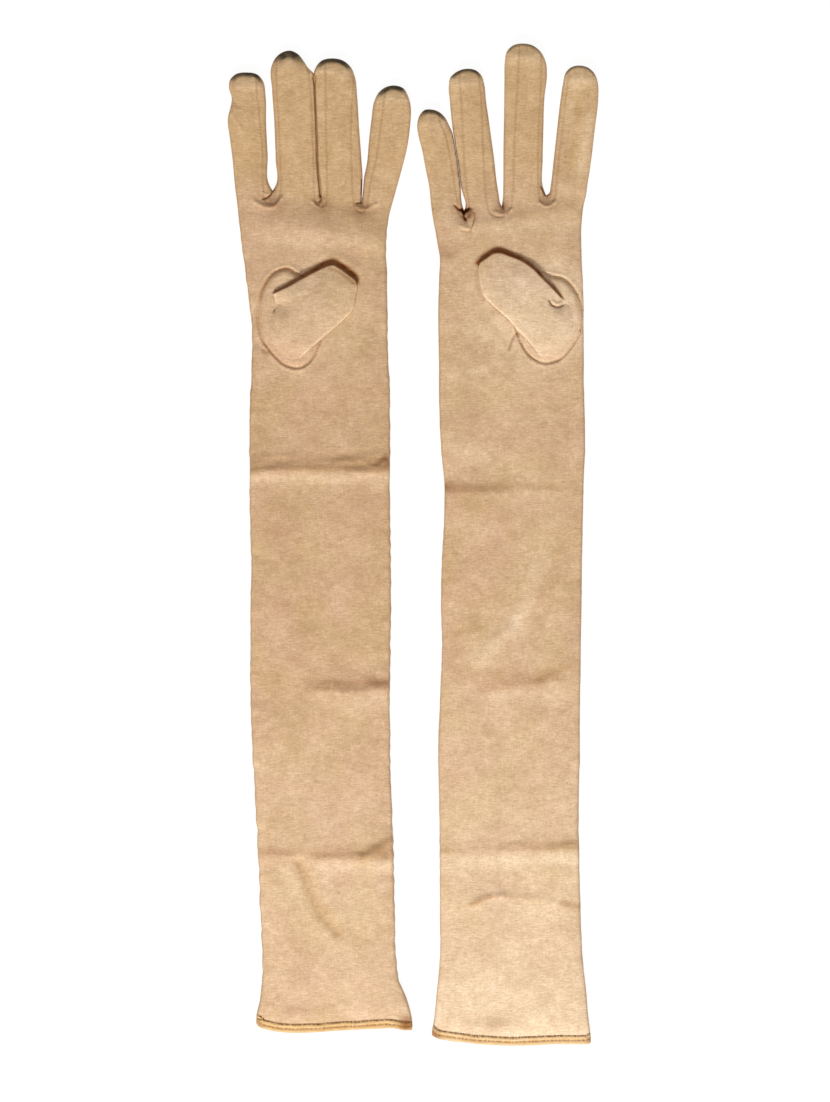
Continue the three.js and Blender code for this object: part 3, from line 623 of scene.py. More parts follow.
    def relief(self, x, y, d):
        """Creases, ridges and the soft unevenness of cloth that lies loose."""
        spec = self.spec
        z = np.zeros_like(x)
        for n, fold in enumerate(spec["folds"]):
            t, window = self.crease(n, x, y)
            height, above, below = fold[1:4]
            wide = np.where(t > 0, above, below)
            z += height * window * np.exp(-((np.hypot(t, 0.4) / wide) ** 1.35))
            z += 0.22 * height * window * bump(t, 0.6 * above, above) * ripple(x * 0.22, y, 5.5, 80 + n)
        across = smoothstep(-44, -30, x) * (1 - smoothstep(30, 44, x))
        base = self.base_y(x)
        at, height, width = spec["knuckle_ridge"]
        z += height * across * bump(y - base, at, width)
        z -= 0.42 * height * across * bump(y - base, -3, 5.0)
        calm = smoothstep(*LOOSE_EDGE, d)
        for size, length, squeeze, seed, waves in LOOSE:
            z += size * calm * ripple(x, y * squeeze, length, seed, waves)
        palm = smoothstep(0, -30, y)
        edge = np.exp(-((d / 6.5) ** 2)) * smoothstep(0.4, 2.0, d) * palm
        z += 0.55 * spec["pucker"] * edge * ripple(x * 0.35, y, 7.5, 9, 9)
        return z

    def upper(self, points):
        """Heights of the palm side, and what its material needs to know at each point."""
        d, index = self.edge(points)
        inner = smoothstep(*AT_EDGE, d)
        fold, soil_and_shade = self.nicks("nicks", points)
        z = self.bare_palm(points, d, index) + fold * inner
        near, along = self.seam_depth(points)
        stitch = np.cos(2 * math.pi * along / STITCH_PITCH)
        gather = 0.75 + 0.25 * stitch
        z -= inner * SEAM_GROOVE * gather * bump(near, 0, 0.5)
        z += inner * SEAM_LIP * (1.5 - gather) * bump(near, 1.15, 0.6)
        rise, soil_and_shade = self.thumb_hole(points, inner, soil_and_shade)
        z += rise
        hem, _ = self.cuff(points)
        x = points[:, 0]
        hem = hem + 0.3 * ripple(x, x * 0, 15, 70) * smoothstep(0.4, 2, hem)
        reach, share = CUFF_FLAT
        z -= share * (1 - smoothstep(0, reach, hem)) * (z - EDGE_Z - CLOTH)
        z += self.hem_profile(hem) * smoothstep(0.1, 1.2, d)
        seam = bump(near, 0, 0.7) * (0.62 + 0.25 * stitch) * inner
        # painted shadow beside the folded thumb
        soil_and_shade = np.maximum(soil_and_shade, self.thumb_shade(points))
        return z, self.facts(points, seam, hem, d, soil_and_shade, index)

    def bare_palm(self, points, d, index):
        """Heights of the palm side without its seams and small folds; d is the distance to the edge."""
        x, y = points[:, 0], points[:, 1]
        from_tip = self.edge_tip[index] - y
        tip = 1 - smoothstep(0.5, TIP_REACH, from_tip)
        tip_radius = np.array(self.spec["tips"])[self.edge_finger[index], 2]
        radius = EDGE_RADIUS + (tip_radius - EDGE_RADIUS) * tip
        gap, _ = self.touching(points)
        radius = radius - (radius - TOUCHING_RADIUS) * bump(gap, 0, 1.6)
        z = EDGE_Z + EDGE_RISE * round_rise(d, radius)
        z += CROWN * smoothstep(0, CROWN_REACH, d) * (1 - 0.5 * tip)
        return z + self.relief(x, y, d) + 0.45 * bump(from_tip, 8, 3.5) * smoothstep(1, 5, d)

    def thumb_hole(self, points, inner, soil_and_shade):
        """How the cloth rises at the hole for the thumb, with a groove at its seam, and the painted shade
        and highlights along the seam.
        """
        hole, _ = self.seams[3](points)
        in_hole = inside(points, self.ring)
        outward = np.where(in_hole, -hole, hole)
        z = inner * (HOLE_LIP * bump(outward, 1.5, 0.8) - HOLE_GROOVE * bump(outward, 0, 0.8))
        z += SWELL * in_hole * smoothstep(0, SWELL_REACH, hole)
        upper_arc = smoothstep(-66, -54, points[:, 1])
        # painted shade inside the upper arc of the seam, and painted highlights beside it: outside on the
        # upper arc, inside on the lower
        soil_and_shade = np.maximum(soil_and_shade, in_hole * (0.20 + 0.16 * upper_arc) * bump(hole, 1.2, 1.3))
        highlight_outside = 0.6 * bump(outward, 1.0, 0.55) * upper_arc
        highlight_inside = 0.5 * bump(outward, -1.0, 0.55) * (1 - upper_arc)
        return z, soil_and_shade - highlight_outside - highlight_inside

    def thumb_shade(self, points):
        """How dark the painted shadow is on the palm beside the folded thumb's edge."""
        line = smooth_line(self.spec["thumb_shade"], SEAM_STEP)
        distance, index = Nearest(line[:, :2])(points)
        wide = line[index, 2]
        return THUMB_SHADOW * (1 - smoothstep(0.25, 1.15, distance / wide))

    def facts(self, points, seam, hem, d, soil_and_shade, index):
        """Values stored on the mesh for the materials; index is each point's nearest point of the edge."""
        from_tip = self.edge_tip[index] - points[:, 1]
        # the tone carries painted highlights below the fingertips and along ridges
        tone = self.painted_tone(points) + TIP_GLOW * bump(from_tip, 8, 4.5)
        tone = self.creased_tone(points, tone + RIDGE_HIGHLIGHT * np.clip(-soil_and_shade, 0, 1))
        # painted shade on the fingertips, where their edge faces up, away from the light
        reach, strength, _ = np.array(self.spec["tips"])[self.edge_finger[index]].T
        facing = smoothstep(0.25, 0.85, self.edge_up[index]) * (1 - smoothstep(5, 10, from_tip))
        dark = strength * facing * (1 - smoothstep(0.6 * reach, 1.1 * reach, d))
        # painted shade along the outline
        soil_and_shade = np.maximum(soil_and_shade, EDGE_SHADE * bump(d, 0, 0.6))
        return {"seam": seam, "hem": hem, "soil_and_shade": soil_and_shade, "tone": tone, "tip": dark}

    def painted_tone(self, points):
        """How light the cloth is at each point, from the glove's tables."""
        x, y = points[:, 0], points[:, 1]
        table = self.spec["tone"]
        tone = np.interp(y, [a[0] for a in table], [a[1] for a in table])
        for at_x, at_y, wide, high, amount in self.spec["glow"]:
            tone = tone + amount * np.exp(-((((x - at_x) / wide) ** 2 + ((y - at_y) / high) ** 2) ** 2))
        for ax, ay, bx, by, width, amount in self.spec["streaks"]:
            run = np.array([bx - ax, by - ay])
            share = np.clip(((points - (ax, ay)) @ run) / (run @ run), 0, 1)
            away = np.linalg.norm(points - (ax, ay) - share[:, None] * run, axis=1)
            tone = tone + amount * bump(away, 0, width)
        return tone

    def creased_tone(self, points, tone):
        """The tone, with painted shade above each crease of the sleeve and a painted highlight below it."""
        for n, (_, _, above, below, _, _, dark, light) in enumerate(self.spec["folds"]):
            t, window = self.crease(n, points[:, 0], points[:, 1])
            upper_side = smoothstep(-0.5, 1.2, t) * (1 - smoothstep(0.7 * above, 1.6 * above, t))
            tone = tone - dark * window * upper_side
            tone = tone + light * window * bump(t, -0.8 * below, 0.65 * below)
        return tone

    def hem_profile(self, hem):
        """The turned-up hem stands proud, with a groove along each row of stitching and a rounded edge."""
        z = HEM_PROUD * (1 - smoothstep(HEM - 0.6, HEM + 0.3, hem))
        z -= 0.9 * (1 - round_rise(hem, 1.0))
        for row, deep in zip(HEM_ROWS, ROW_DEPTHS, strict=True):
            z -= deep * bump(hem, row, 0.55)
        return z

    def lower(self, points):
        """Heights of the back, which lies on the table."""
        d, index = self.edge(points)
        z = FLOOR_GAP + (EDGE_Z - FLOOR_GAP) * (1 - round_rise(d, BACK_RADIUS))
        hem, _ = self.cuff(points)
        seam = 0.8 * bump(d, INSETS[2], 0.5) * (self.edge_tip[index] < NOT_A_FINGER)
        return z, self.facts(points, seam, hem, d, np.zeros(len(points)), index)


# -------------------------------------------------------------------------------------------- cloth bodies
class Cloth:
    """A closed skin over a plan: an upper and a lower side that share their outline."""

    def __init__(self, spec, upper_mesh, lower_mesh, upper_z, lower_z, thickness, apart=None):
        """apart tells where the two sides stay apart along the outline, as at a cuff's open mouth."""
        self.spec = spec
        self.thickness = thickness
        upper, upper_tris = upper_mesh
        lower, lower_tris = lower_mesh
        tree = KDTree(len(upper))
        rim = set(boundary(upper_tris))
        for i in rim:
            tree.insert((*upper[i], 0), i)
        tree.balance()
        number = np.arange(len(lower)) + len(upper)
        for i in boundary(lower_tris):
            if apart is None or not apart(lower[i]):
                _, other, far = tree.find((*lower[i], 0))
                if far < 0.02:
                    number[i] = other
        self.plan = np.concatenate([upper, lower])
        top, top_facts = upper_z(upper)
        bottom, bottom_facts = lower_z(lower)
        self.rest = np.column_stack([self.plan, np.concatenate([top, bottom])])
        self.facts = {k: np.concatenate([top_facts[k], bottom_facts[k]]) for k in top_facts}
        self.tris = np.concatenate([upper_tris, number[lower_tris][:, ::-1]])
        self.is_upper = np.arange(len(self.tris)) < len(upper_tris)
        self.centres = self.plan[self.tris].mean(axis=1)
        self.label = np.full(len(self.tris), "", dtype=object)
        self.normals = self.vertex_normals()

    def vertex_normals(self):
        a, b, c = (self.rest[self.tris[:, i]] for i in range(3))
        faces = np.cross(b - a, c - a)
        normals = np.zeros_like(self.rest)
        for i in range(3):
            np.add.at(normals, self.tris[:, i], faces)
        return normals / np.maximum(np.linalg.norm(normals, axis=1), 1e-9)[:, None]

    def piece(self, name, material):
        """The named piece as an object: its outer side, its inner side and the walls between them."""
        tris = self.tris[self.label == name]
        used, tris = np.unique(tris, return_inverse=True)
        tris = tris.reshape(-1, 3)
        outer, normals = self.rest[used], self.normals[used]
        facts = {k: v[used] for k, v in self.facts.items()}
        count = len(outer)
        thickness = np.broadcast_to(self.thickness, len(self.rest))[used]
        inner = outer - normals * thickness[:, None]
        edges = np.concatenate([tris[:, [0, 1]], tris[:, [1, 2]], tris[:, [2, 0]]]).tolist()
        seen = {(a, b) for a, b in edges}
        walls = [[b, a, a + count, b + count] for a, b in edges if (b, a) not in seen]
        faces = tris.tolist() + (tris[:, ::-1] + count).tolist() + walls
        rest = np.concatenate([outer, inner])
        normals = np.concatenate([normals, -normals])
        facts = {k: np.concatenate([v, v]) for k, v in facts.items()}
        return make_object(self.spec, name, rest, faces, normals, 2 * len(tris), material, facts)


def boundary(tris):
    """The points on the boundary of a triangle mesh."""
    edges = np.sort(np.concatenate([tris[:, [0, 1]], tris[:, [1, 2]], tris[:, [2, 0]]]), axis=1)
    edges, uses = np.unique(edges, axis=0, return_counts=True)
    return np.unique(edges[uses == 1]).tolist()


def make_object(spec, name, rest, faces, normals, soft_faces, material, facts):
    """A mesh object in the row frame, from points in a glove's frame. Its first soft_faces are smooth."""
    flip = np.array([spec["mirror"], 1, 1])
    co = rest * flip * MM + np.array([*spec["origin"], 0])
    if spec["mirror"] < 0:
        faces = [face[::-1] for face in faces]
    mesh = bpy.data.meshes.new(f"{spec['side']}_{name}")
    mesh.from_pydata(co.tolist(), [], faces)
    mesh.polygons.foreach_set("use_smooth", [i < soft_faces for i in range(len(mesh.polygons))])
    if normals is not None:
        corners = np.zeros(len(mesh.loops), int)
        mesh.loops.foreach_get("vertex_index", corners)
        loops = (normals * flip)[corners]
        loops[3 * soft_faces:] = 0
        mesh.normals_split_custom_set(loops.tolist())
    place = mesh.attributes.new("rest", "FLOAT_VECTOR", "POINT")
    shift = np.array([0 if spec["mirror"] < 0 else NOISE_APART, 0, 0])
    place.data.foreach_set("vector", (rest + shift).astype(np.float32).ravel())
    soil_and_shade = np.maximum(stains_and_shade(spec, rest), facts["soil_and_shade"])
    for key, values in {**facts, "soil_and_shade": soil_and_shade}.items():
        attribute = mesh.attributes.new(key, "FLOAT", "POINT")
        attribute.data.foreach_set("value", values.astype(np.float32))
    mesh.materials.append(material)
    obj = bpy.data.objects.new(f"{spec['side']}_{name}_cloth", mesh)
    bpy.context.scene.collection.objects.link(obj)
    return obj


def stains_and_shade(spec, rest):
    """How soiled the cloth is at each point, from 0 to 1; some of the stains are painted shade along the
    creases and below the fingers.
    """
    x, y = rest[:, 0], rest[:, 1]
    total = np.zeros(len(rest))
    for at_x, at_y, wide, high, strength in spec["stains_and_shade"]:
        total += strength * np.exp(-(((x - at_x) / wide) ** 2) - ((y - at_y) / high) ** 2)
    return np.clip(total, 0, 1)


# ---------------------------------------------------------------------------------------- meshes of a glove
def beside(line, offsets, width=1.0):
    """Rows of points along a line, offset to its left by multiples of a width."""
    normal = inward(line)
    return [line + normal * (offset * width) for offset in offsets]


def spread(plan, step, zone_step):
    """Points over the inside of a glove: rows along its edges and seams, and a grid, finer at its bends."""
    points = []
    for n, line in enumerate(plan.chains):
        points += beside(line, HEM_INSETS if n == 4 else INSETS)
    for line in [*plan.webs, plan.ring]:
        points += beside(line, BESIDE_SEAM)
    for path, _, width, _ in plan.spec["nicks"]:
        points += beside(smooth_line(path, 0.6), BESIDE_FOLD, width)
    low, high = plan.outline.min(axis=0), plan.outline.max(axis=0)
    grid = hex_grid(low, high, step)
    points = np.concatenate(points)
    bends = [(f - 9, f + 9) for f in plan.fold_lines] + [FINGER_BAND]
    for a, b in bends:
        grid = np.concatenate([grid, hex_grid((low[0], a), (high[0], b), zone_step)])
    if step == FACE_STEP:
        grid = np.concatenate([grid, hex_grid(*THUMB_BOX, THUMB_STEP)])
    d_row, _ = plan.edge(points)
    c_row, _ = plan.cuff(points)
    points = points[(d_row > 0.4) & (c_row > 0.3) & inside(points, plan.outline)]
    d_grid, _ = plan.edge(grid)
    c_grid, _ = plan.cuff(grid)
    near, _ = plan.seam_depth(grid)
    clear = (d_grid > INSETS[-1] + 0.4) & (c_grid > HEM_INSETS[-1] + 0.4) & (near > 2.4)
    grid = grid[clear & inside(grid, plan.outline)]
    return thin(np.concatenate([points, grid]), POINTS_APART)


def thin(points, apart):
    """The points, without any that lies closer than apart to an earlier one."""
    cell = np.round(points / apart).astype(int)
    _, first = np.unique(cell, axis=0, return_index=True)
    return points[np.sort(first)]


def straight(a, b, step=1.5):
    """A straight line with a point about every step."""
    count = max(2, int(np.linalg.norm(np.subtract(b, a)) / step))
    return np.linspace(a, b, count)


def guide_lines(plan):
    """The lines that the mesh has to follow, because a piece ends there."""
    lines = list(plan.webs)
    for a, b in zip(plan.base_line, plan.base_line[1:], strict=False):
        lines.append(straight(a, b))
    for y in plan.cuts:
        lines.append(straight((-FAR_SIDE, y), (FAR_SIDE, y)))
    for shift in (-WELT, WELT):
        ring = plan.ring + inward(plan.ring) * shift
        lines.append(np.concatenate([ring, ring[:1]]))
    cuff = plan.chains[4]
    hem = cuff + inward(cuff) * HEM
    run = hem[1] - hem[0]
    hem[0] -= run * 6
    hem[-1] += run * 6
    lines.append(hem)
    for chain, kept in ((plan.chains[0], slice(0, -3)), (plan.chains[3], slice(3, None))):
        seam = chain + inward(chain) * SEAM_BAND
        lines.append(seam[seam[:, 1] > plan.cuts[0] - 4][kept])
    return lines


def glove_cloth(plan):
    """A glove without its thumb, with every triangle labelled."""
    lines = guide_lines(plan)
    upper = triangulate(plan.outline, lines, spread(plan, FACE_STEP, BEND_STEP[0]))
    lower = triangulate(plan.outline, lines, spread(plan, BACK_STEP, BEND_STEP[1]))

    def open_mouth(point):
        gap, _ = plan.edge(np.array([point]))
        return gap[0] > 0.02

    cloth = Cloth(plan.spec, upper, lower, plan.upper, plan.lower, CLOTH, open_mouth)
    label(plan, cloth)
    return cloth


def label(plan, cloth):
    """Names the piece that each triangle belongs to. A later name replaces an earlier one."""
    p, face, names = cloth.centres, cloth.is_upper, cloth.label
    y = p[:, 1]
    d, index = plan.edge(p)
    band = d < SEAM_BAND
    thumb_side = band & (plan.edge_finger[index] == 0) & ~plan.edge_outer[index]
    outer_side = band & (plan.edge_finger[index] == 3) & plan.edge_outer[index]
    names[face] = "palm"
    names[~face] = "back"
    names[thumb_side] = "thumb_side_seam"
    names[outer_side] = "outer_side_seam"
    near, _ = plan.seams[3](p)
    names[face & inside(p, plan.ring)] = "thumb_base"
    names[face & (near < WELT)] = "thumb_seam"
    label_fingers(plan, p, face, names)
    which = finger_at(plan, p)
    names[(which == 0) & thumb_side] = "index_side_seam"
    names[(which == 3) & outer_side] = "little_side_seam"
    for cut, sleeve in zip(plan.cuts, SLEEVES, strict=True):
        names[y < cut] = sleeve[0]
    hem, _ = plan.cuff(p)
    names[hem < HEM] = "hem"


def label_fingers(plan, p, face, names):
    """The quirks, and each finger's two sides and its fourchettes, for triangles with the centres p."""
    y = p[:, 1]
    above = y > plan.base_y(p[:, 0])
    web = [inside(p, w) for w in plan.webs]
    for k in range(3):
        names[face & web[k] & ~above & (y > QUIRK_LOW)] = f"{FINGERS[k]}_{FINGERS[k + 1]}_quirk"
    which = finger_at(plan, p)
    for k, finger in enumerate(FINGERS):
        mine = which == k
        names[mine & face] = f"{finger}_palm_side"
        names[mine & ~face] = f"{finger}_back_side"
        own_edge, place = Nearest(plan.chains[k])(p)
        narrow = mine & ~face & (own_edge < INSETS[2])
        outer = place > int(np.argmax(plan.chains[k][:, 1]))
        if k > 0:
            names[mine & face & web[k - 1]] = f"{finger}_fourchette_thumb_side"
            names[narrow & ~outer] = f"{finger}_fourchette_thumb_side"
        if k < 3:
            names[mine & face & web[k]] = f"{finger}_fourchette_outer_side"
            names[narrow & outer] = f"{finger}_fourchette_outer_side"


def finger_at(plan, points):
    """The finger each point lies in, from 0 for the index, or -1 in the hand and the sleeve."""
    above = points[:, 1] > plan.base_y(points[:, 0])
    which = np.full(len(points), -1)
    _, index = plan.edge(points)
    which[above] = plan.edge_finger[index[above]]
    for k, chain in enumerate(plan.chains[:4]):
        finger = chain[chain[:, 1] >= plan.base_y(chain[:, 0])]
        which[above & inside(points, finger)] = k
    return which


# ---------------------------------------------------------------------------------------------------- thumb
class Thumb:
    """The thumb, folded over the palm: free along one side, melting into its base along the other."""

    def __init__(self, plan):
        free = plan.spec["thumb_free"]
        self.plan = plan
        self.free = smooth_line(free, OUTLINE_STEP)
        melt = smooth_line([free[-1], *plan.spec["thumb_melt"], free[0]], OUTLINE_STEP)
        self.near_free, self.near_melt = Nearest(self.free), Nearest(melt)
        self.outline = np.concatenate([self.free[:-1], melt[:-1]])

    def mesh(self):
        """Triangles over the thumb, with rows of points along its free edge and its narrow folds."""
        free, outline = self.free, self.outline
        normal = inward(np.concatenate([free, free[:1]]))[:-1]
        rows = [free + normal * inset for inset in INSETS]
        for path, _, width, _ in self.plan.spec["thumb_nicks"]:
            if width < 1.5:
                rows += beside(smooth_line(path, 0.6), BESIDE_FOLD, width)
        grid = hex_grid(outline.min(axis=0), outline.max(axis=0), THUMB_GRID)
        d_grid, _ = self.near_free(grid)
        points = np.concatenate(rows + [grid[d_grid > INSETS[-1] + 0.4]])
        d_free, _ = self.near_free(points)
        d_melt, _ = self.near_melt(points)
        clear = (d_free > 0.4) & (d_melt > 0.5) & inside(points, outline)
        return triangulate(outline, [], thin(points[clear], POINTS_APART))

    def palm(self, points):
        """Heights of the palm under the thumb, without its seams."""
        plan = self.plan
        d, _ = plan.edge(points)
        rise = EDGE_RISE * round_rise(d, EDGE_RADIUS) + CROWN * smoothstep(0, CROWN_REACH, d)
        hole, _ = plan.seams[3](points)
        in_hole = inside(points, plan.ring)
        d_melt, _ = self.near_melt(points)
        sharp = in_hole * smoothstep(0, SWELL_REACH, hole)
        soft = smoothstep(-16, 2, np.where(in_hole, hole, -hole))
        swell = SWELL * (sharp + (soft - sharp) * smoothstep(0.5, 7, d_melt))
        return EDGE_Z + rise + swell + plan.relief(points[:, 0], points[:, 1], d)

    def upper(self, points):
        """Heights of the side that shows, and what its material needs to know at each point."""
        plan = self.plan
        d_free, at_free = self.near_free(points)
        d_melt, _ = self.near_melt(points)
        lift = smoothstep(0, THUMB_LIFT, d_melt)
        z = self.palm(points) - 0.3 + 0.8 * smoothstep(0, 3.5, d_melt) + lift * (THUMB_RISE - 0.5)
        side = lift * (0.35 * THUMB_RISE + 1.0)
        shaded = smoothstep(-0.1, 0.4, -inward(self.free)[at_free, 1])
        z += side * (round_rise(d_free, 1.9 - 0.9 * shaded) - 1) + 0.9 * lift * smoothstep(1, 10, d_free)
        fold, soil_and_shade = plan.nicks("thumb_nicks", points)
        z += fold * smoothstep(*AT_EDGE, d_free) * smoothstep(0.2, 1.4, d_melt)
        z += 0.1 * lift * smoothstep(1, 5, d_free) * ripple(points[:, 0], points[:, 1], 11, 61)
        beyond_melt = smoothstep(0, 3, d_melt)
        # painted shade on the thumb's side that faces away from the light, and a painted highlight along
        # its lit edge
        soil_and_shade = np.maximum(soil_and_shade, THUMB_SHADOW * shaded * (1 - smoothstep(0.3, 0.9, d_free)) * beyond_melt)
        soil_and_shade = soil_and_shade - 0.6 * (1 - shaded) * bump(d_free, 0.7, 0.5)
        none = np.zeros(len(points))
        _, index = plan.edge(points)
        return z, plan.facts(points, none, none + 99, none + 9, soil_and_shade * beyond_melt, index)

    def lower(self, points):
        """Heights of the side that lies on the palm. It meets the other side along the outline."""
        d_free, _ = self.near_free(points)
        d_melt, _ = self.near_melt(points)
        top, facts = self.upper(points)
        z = self.palm(points) - 0.32 + smoothstep(0, THUMB_LIFT, d_melt) * 0.7
        z = z + (top - z) * np.clip(1 - d_free / 1.3, 0, 1) ** 2 * 0.999
        z = np.where(np.minimum(d_free, d_melt) < 1e-6, top, z)
        return np.minimum(z, top), facts

    def cloth(self):
        """The thumb as a tube. Its cloth is thinner where its two sides come closer than two layers."""
        mesh = self.mesh()
        hollow = self.upper(mesh[0])[0] - self.lower(mesh[0])[0]
        thickness = np.clip(0.4 * hollow, 0.04, CLOTH)
        both = np.concatenate([thickness, thickness])
        cloth = Cloth(self.plan.spec, mesh, mesh, self.upper, self.lower, both)
        cloth.label[:] = "thumb"
        return cloth


# ------------------------------------------------------------------------------------------------ materials
def linear(r, g, b):
    """A colour given as 8-bit sRGB, as the shader wants it."""
    out = []
    for value in (r / 255, g / 255, b / 255):
        out.append(value / 12.92 if value <= 0.04045 else ((value + 0.055) / 1.055) ** 2.4)
    return (*out, 1)


class Graph:
    """A material's nodes, made one call each; an input is a number, a colour or another node's output."""

    def __init__(self, name):
        self.material = bpy.data.materials.new(name)
        self.material.use_nodes = True
        self.tree = self.material.node_tree
        self.tree.nodes.clear()

    def node(self, kind, settings=None, **inputs):
        made = self.tree.nodes.new(kind)
        for key, value in (settings or {}).items():
            setattr(made, key, value)
        for key, value in inputs.items():
            socket = made.inputs[int(key[1:])] if key[0] == "_" else made.inputs[key.replace("_", " ")]
            if isinstance(value, bpy.types.NodeSocket):
                self.tree.links.new(value, socket)
            else:
                socket.default_value = value
        return made

    def fact(self, name):
        return self.node("ShaderNodeAttribute", {"attribute_name": name}).outputs

    def scaled(self, vector, x, y, z):
        """The vector with each part divided by a length in millimetres."""
        scale = (1 / x, 1 / y, 1 / z)
        return self.node("ShaderNodeVectorMath", {"operation": "MULTIPLY"}, _0=vector, _1=scale).outputs[0]

    def noise(self, vector, detail=2.0, roughness=0.5):
        made = self.node("ShaderNodeTexNoise", Vector=vector, Scale=1.0, Detail=detail, Roughness=roughness)
        return made.outputs["Fac"]

    def math(self, operation, a, b=0.0, c=0.0):
        return self.node("ShaderNodeMath", {"operation": operation}, _0=a, _1=b, _2=c).outputs[0]

    def stretch(self, value, low, high, to_low=0.0, to_high=1.0):
        """The value's range low to high, moved to another range and held there."""
        limits = {"_1": low, "_2": high, "_3": to_low, "_4": to_high}
        return self.node("ShaderNodeMapRange", {"clamp": True}, Value=value, **limits).outputs[0]

    def mix(self, share, a, b, kind="MIX"):
        settings = {"data_type": "RGBA", "blend_type": kind}
        return self.node("ShaderNodeMix", settings, _0=share, _6=a, _7=b).outputs[2]


# Colours in 8-bit sRGB
FINGER_TAN = (218, 181, 132)
# pale colour of the painted highlights, where the tone is above 1
HIGHLIGHT_PALE = (234, 207, 174)
SPECK = (104, 74, 48)
SEAM_BROWN = (146, 92, 46)
HEM_GOLD = (226, 184, 116)
STITCH_COLOURS = ((172, 100, 34), (110, 58, 16))  # of the hem's two rows
CUFF_EDGE = (186, 122, 60)
# brown of the soil and of the painted shade
SOIL_AND_SHADE_BROWN = (134, 70, 18)
# nearly black painted shade in the deepest gaps between fingers
DEEP_SHADE = (50, 24, 6)
# grey of the painted shade on the fingertips
TIP_SHADE_GREY = (60, 58, 48)
SHEEN = (236, 196, 150)

# The jersey's noise: cell size in mm across, along and through, detail, roughness, and how far it shades
FIELDS = {
    "fleck": ((2.0, 0.8, 1.6), 2.0, 0.65, 0.50),
    "rows": ((5.0, 0.66, 2.0), 2.0, 0.6, 0.42),
    "wales": ((0.8, 6.5, 2.0), 2.0, 0.6, 0.22),
    "patch": ((5.5, 3.6, 5.0), 3.0, 0.6, 0.28),
    "cloud": ((13, 10, 12), 2.0, 0.5, 0.36),
    "grain": ((0.8, 0.45, 0.6), 1.0, 0.5, 0.24),
}
AGED_PATCH = (26, 34, 26)  # cell size of the change from one aged colour to the other
SPECKS_APART = 21
LOOP = (0.8, 0.6)  # size of a knitted loop across and along
KNIT_DEPTH = 0.00028  # in metres


def jersey_colour(g, rest, tone, olive, pink):
    """The jersey before soil and painted shade are added: two aged colours, mottled and specked, lightened
    and darkened by the tone, which carries painted highlights and shade. Returns the noise fields as well.
    """
    broad = g.noise(g.scaled(rest, *AGED_PATCH))
    cloth_colour = g.mix(g.stretch(broad, 0.36, 0.64), olive, pink)
    along = g.node("ShaderNodeSeparateXYZ", _0=rest).outputs[1]
    cloth_colour = g.mix(g.stretch(along, -12, 25, 0.0, 0.7), cloth_colour, linear(*FINGER_TAN))
    # painted highlight: where the tone is above 1 the colour turns pale
    cloth_colour = g.mix(g.stretch(tone, 1.0, 1.18, 0.0, 0.75), cloth_colour, linear(*HIGHLIGHT_PALE))
    light, fields = tone, {}
    for field, (cell, detail, roughness, weight) in FIELDS.items():
        fields[field] = g.noise(g.scaled(rest, *cell), detail, roughness)
        light = g.math("MULTIPLY", light, g.math("MULTIPLY_ADD", fields[field], weight, 1 - weight / 2))
    green, blue = g.math("POWER", light, 1.3), g.math("POWER", light, 1.65)
    shade = g.node("ShaderNodeCombineColor", _0=light, _1=green, _2=blue).outputs[0]
    flecked = g.mix(1.0, cloth_colour, shade, "MULTIPLY")
    cells = g.scaled(rest, SPECKS_APART, SPECKS_APART, SPECKS_APART)
    speck = g.node("ShaderNodeTexVoronoi", Vector=cells, Scale=1.0).outputs["Distance"]
    return g.mix(g.stretch(speck, 0.024, 0.012, 0.0, 0.7), flecked, linear(*SPECK)), fields


def hem_colour(g, rest, cloth):
    """The cloth with the hem's golden band, its two rows of uneven stitches and its worn edge."""
    hem = g.fact("hem")["Fac"]
    uneven = g.stretch(g.noise(g.scaled(rest, 0.9, 2.5, 2.5), 1.0), 0.40, 0.60, 0.1, 1.0)
    cloth = g.mix(g.stretch(hem, HEM + 0.2, HEM - 0.6, 0.0, 0.5), cloth, linear(*HEM_GOLD))
    for row, strength, colour in zip(HEM_ROWS, (0.75, 0.95), STITCH_COLOURS, strict=True):
        away = g.math("ABSOLUTE", g.math("SUBTRACT", hem, row))
        share = g.math("MULTIPLY", g.stretch(away, 0.9, 0.2, 0.0, strength), uneven)
        cloth = g.mix(share, cloth, linear(*colour))
    return g.mix(g.stretch(hem, 0.7, 0.1, 0.0, 0.5), cloth, linear(*CUFF_EDGE))


def soiled_and_shaded_colour(g, patch, cloth):
    """The cloth with brown soil and painted shade, nearly black painted shade in the deepest gaps, and
    painted grey shade on the fingertips.
    """
    soil_and_shade = g.math("MULTIPLY", g.fact("soil_and_shade")["Fac"], g.stretch(patch, 0.25, 0.7, 0.8, 1.1))
    cloth = g.mix(g.stretch(soil_and_shade, 0.0, 1.0, 0.0, 0.97), cloth, linear(*SOIL_AND_SHADE_BROWN))
    cloth = g.mix(g.stretch(soil_and_shade, 1.0, 1.3, 0.0, 0.92), cloth, linear(*DEEP_SHADE))
    tip_shade = g.math("MULTIPLY", g.fact("tip")["Fac"], g.stretch(patch, 0.25, 0.6, 0.72, 1.1))
    return g.mix(g.stretch(tip_shade, 0.0, 1.0, 0.0, 0.95), cloth, linear(*TIP_SHADE_GREY))


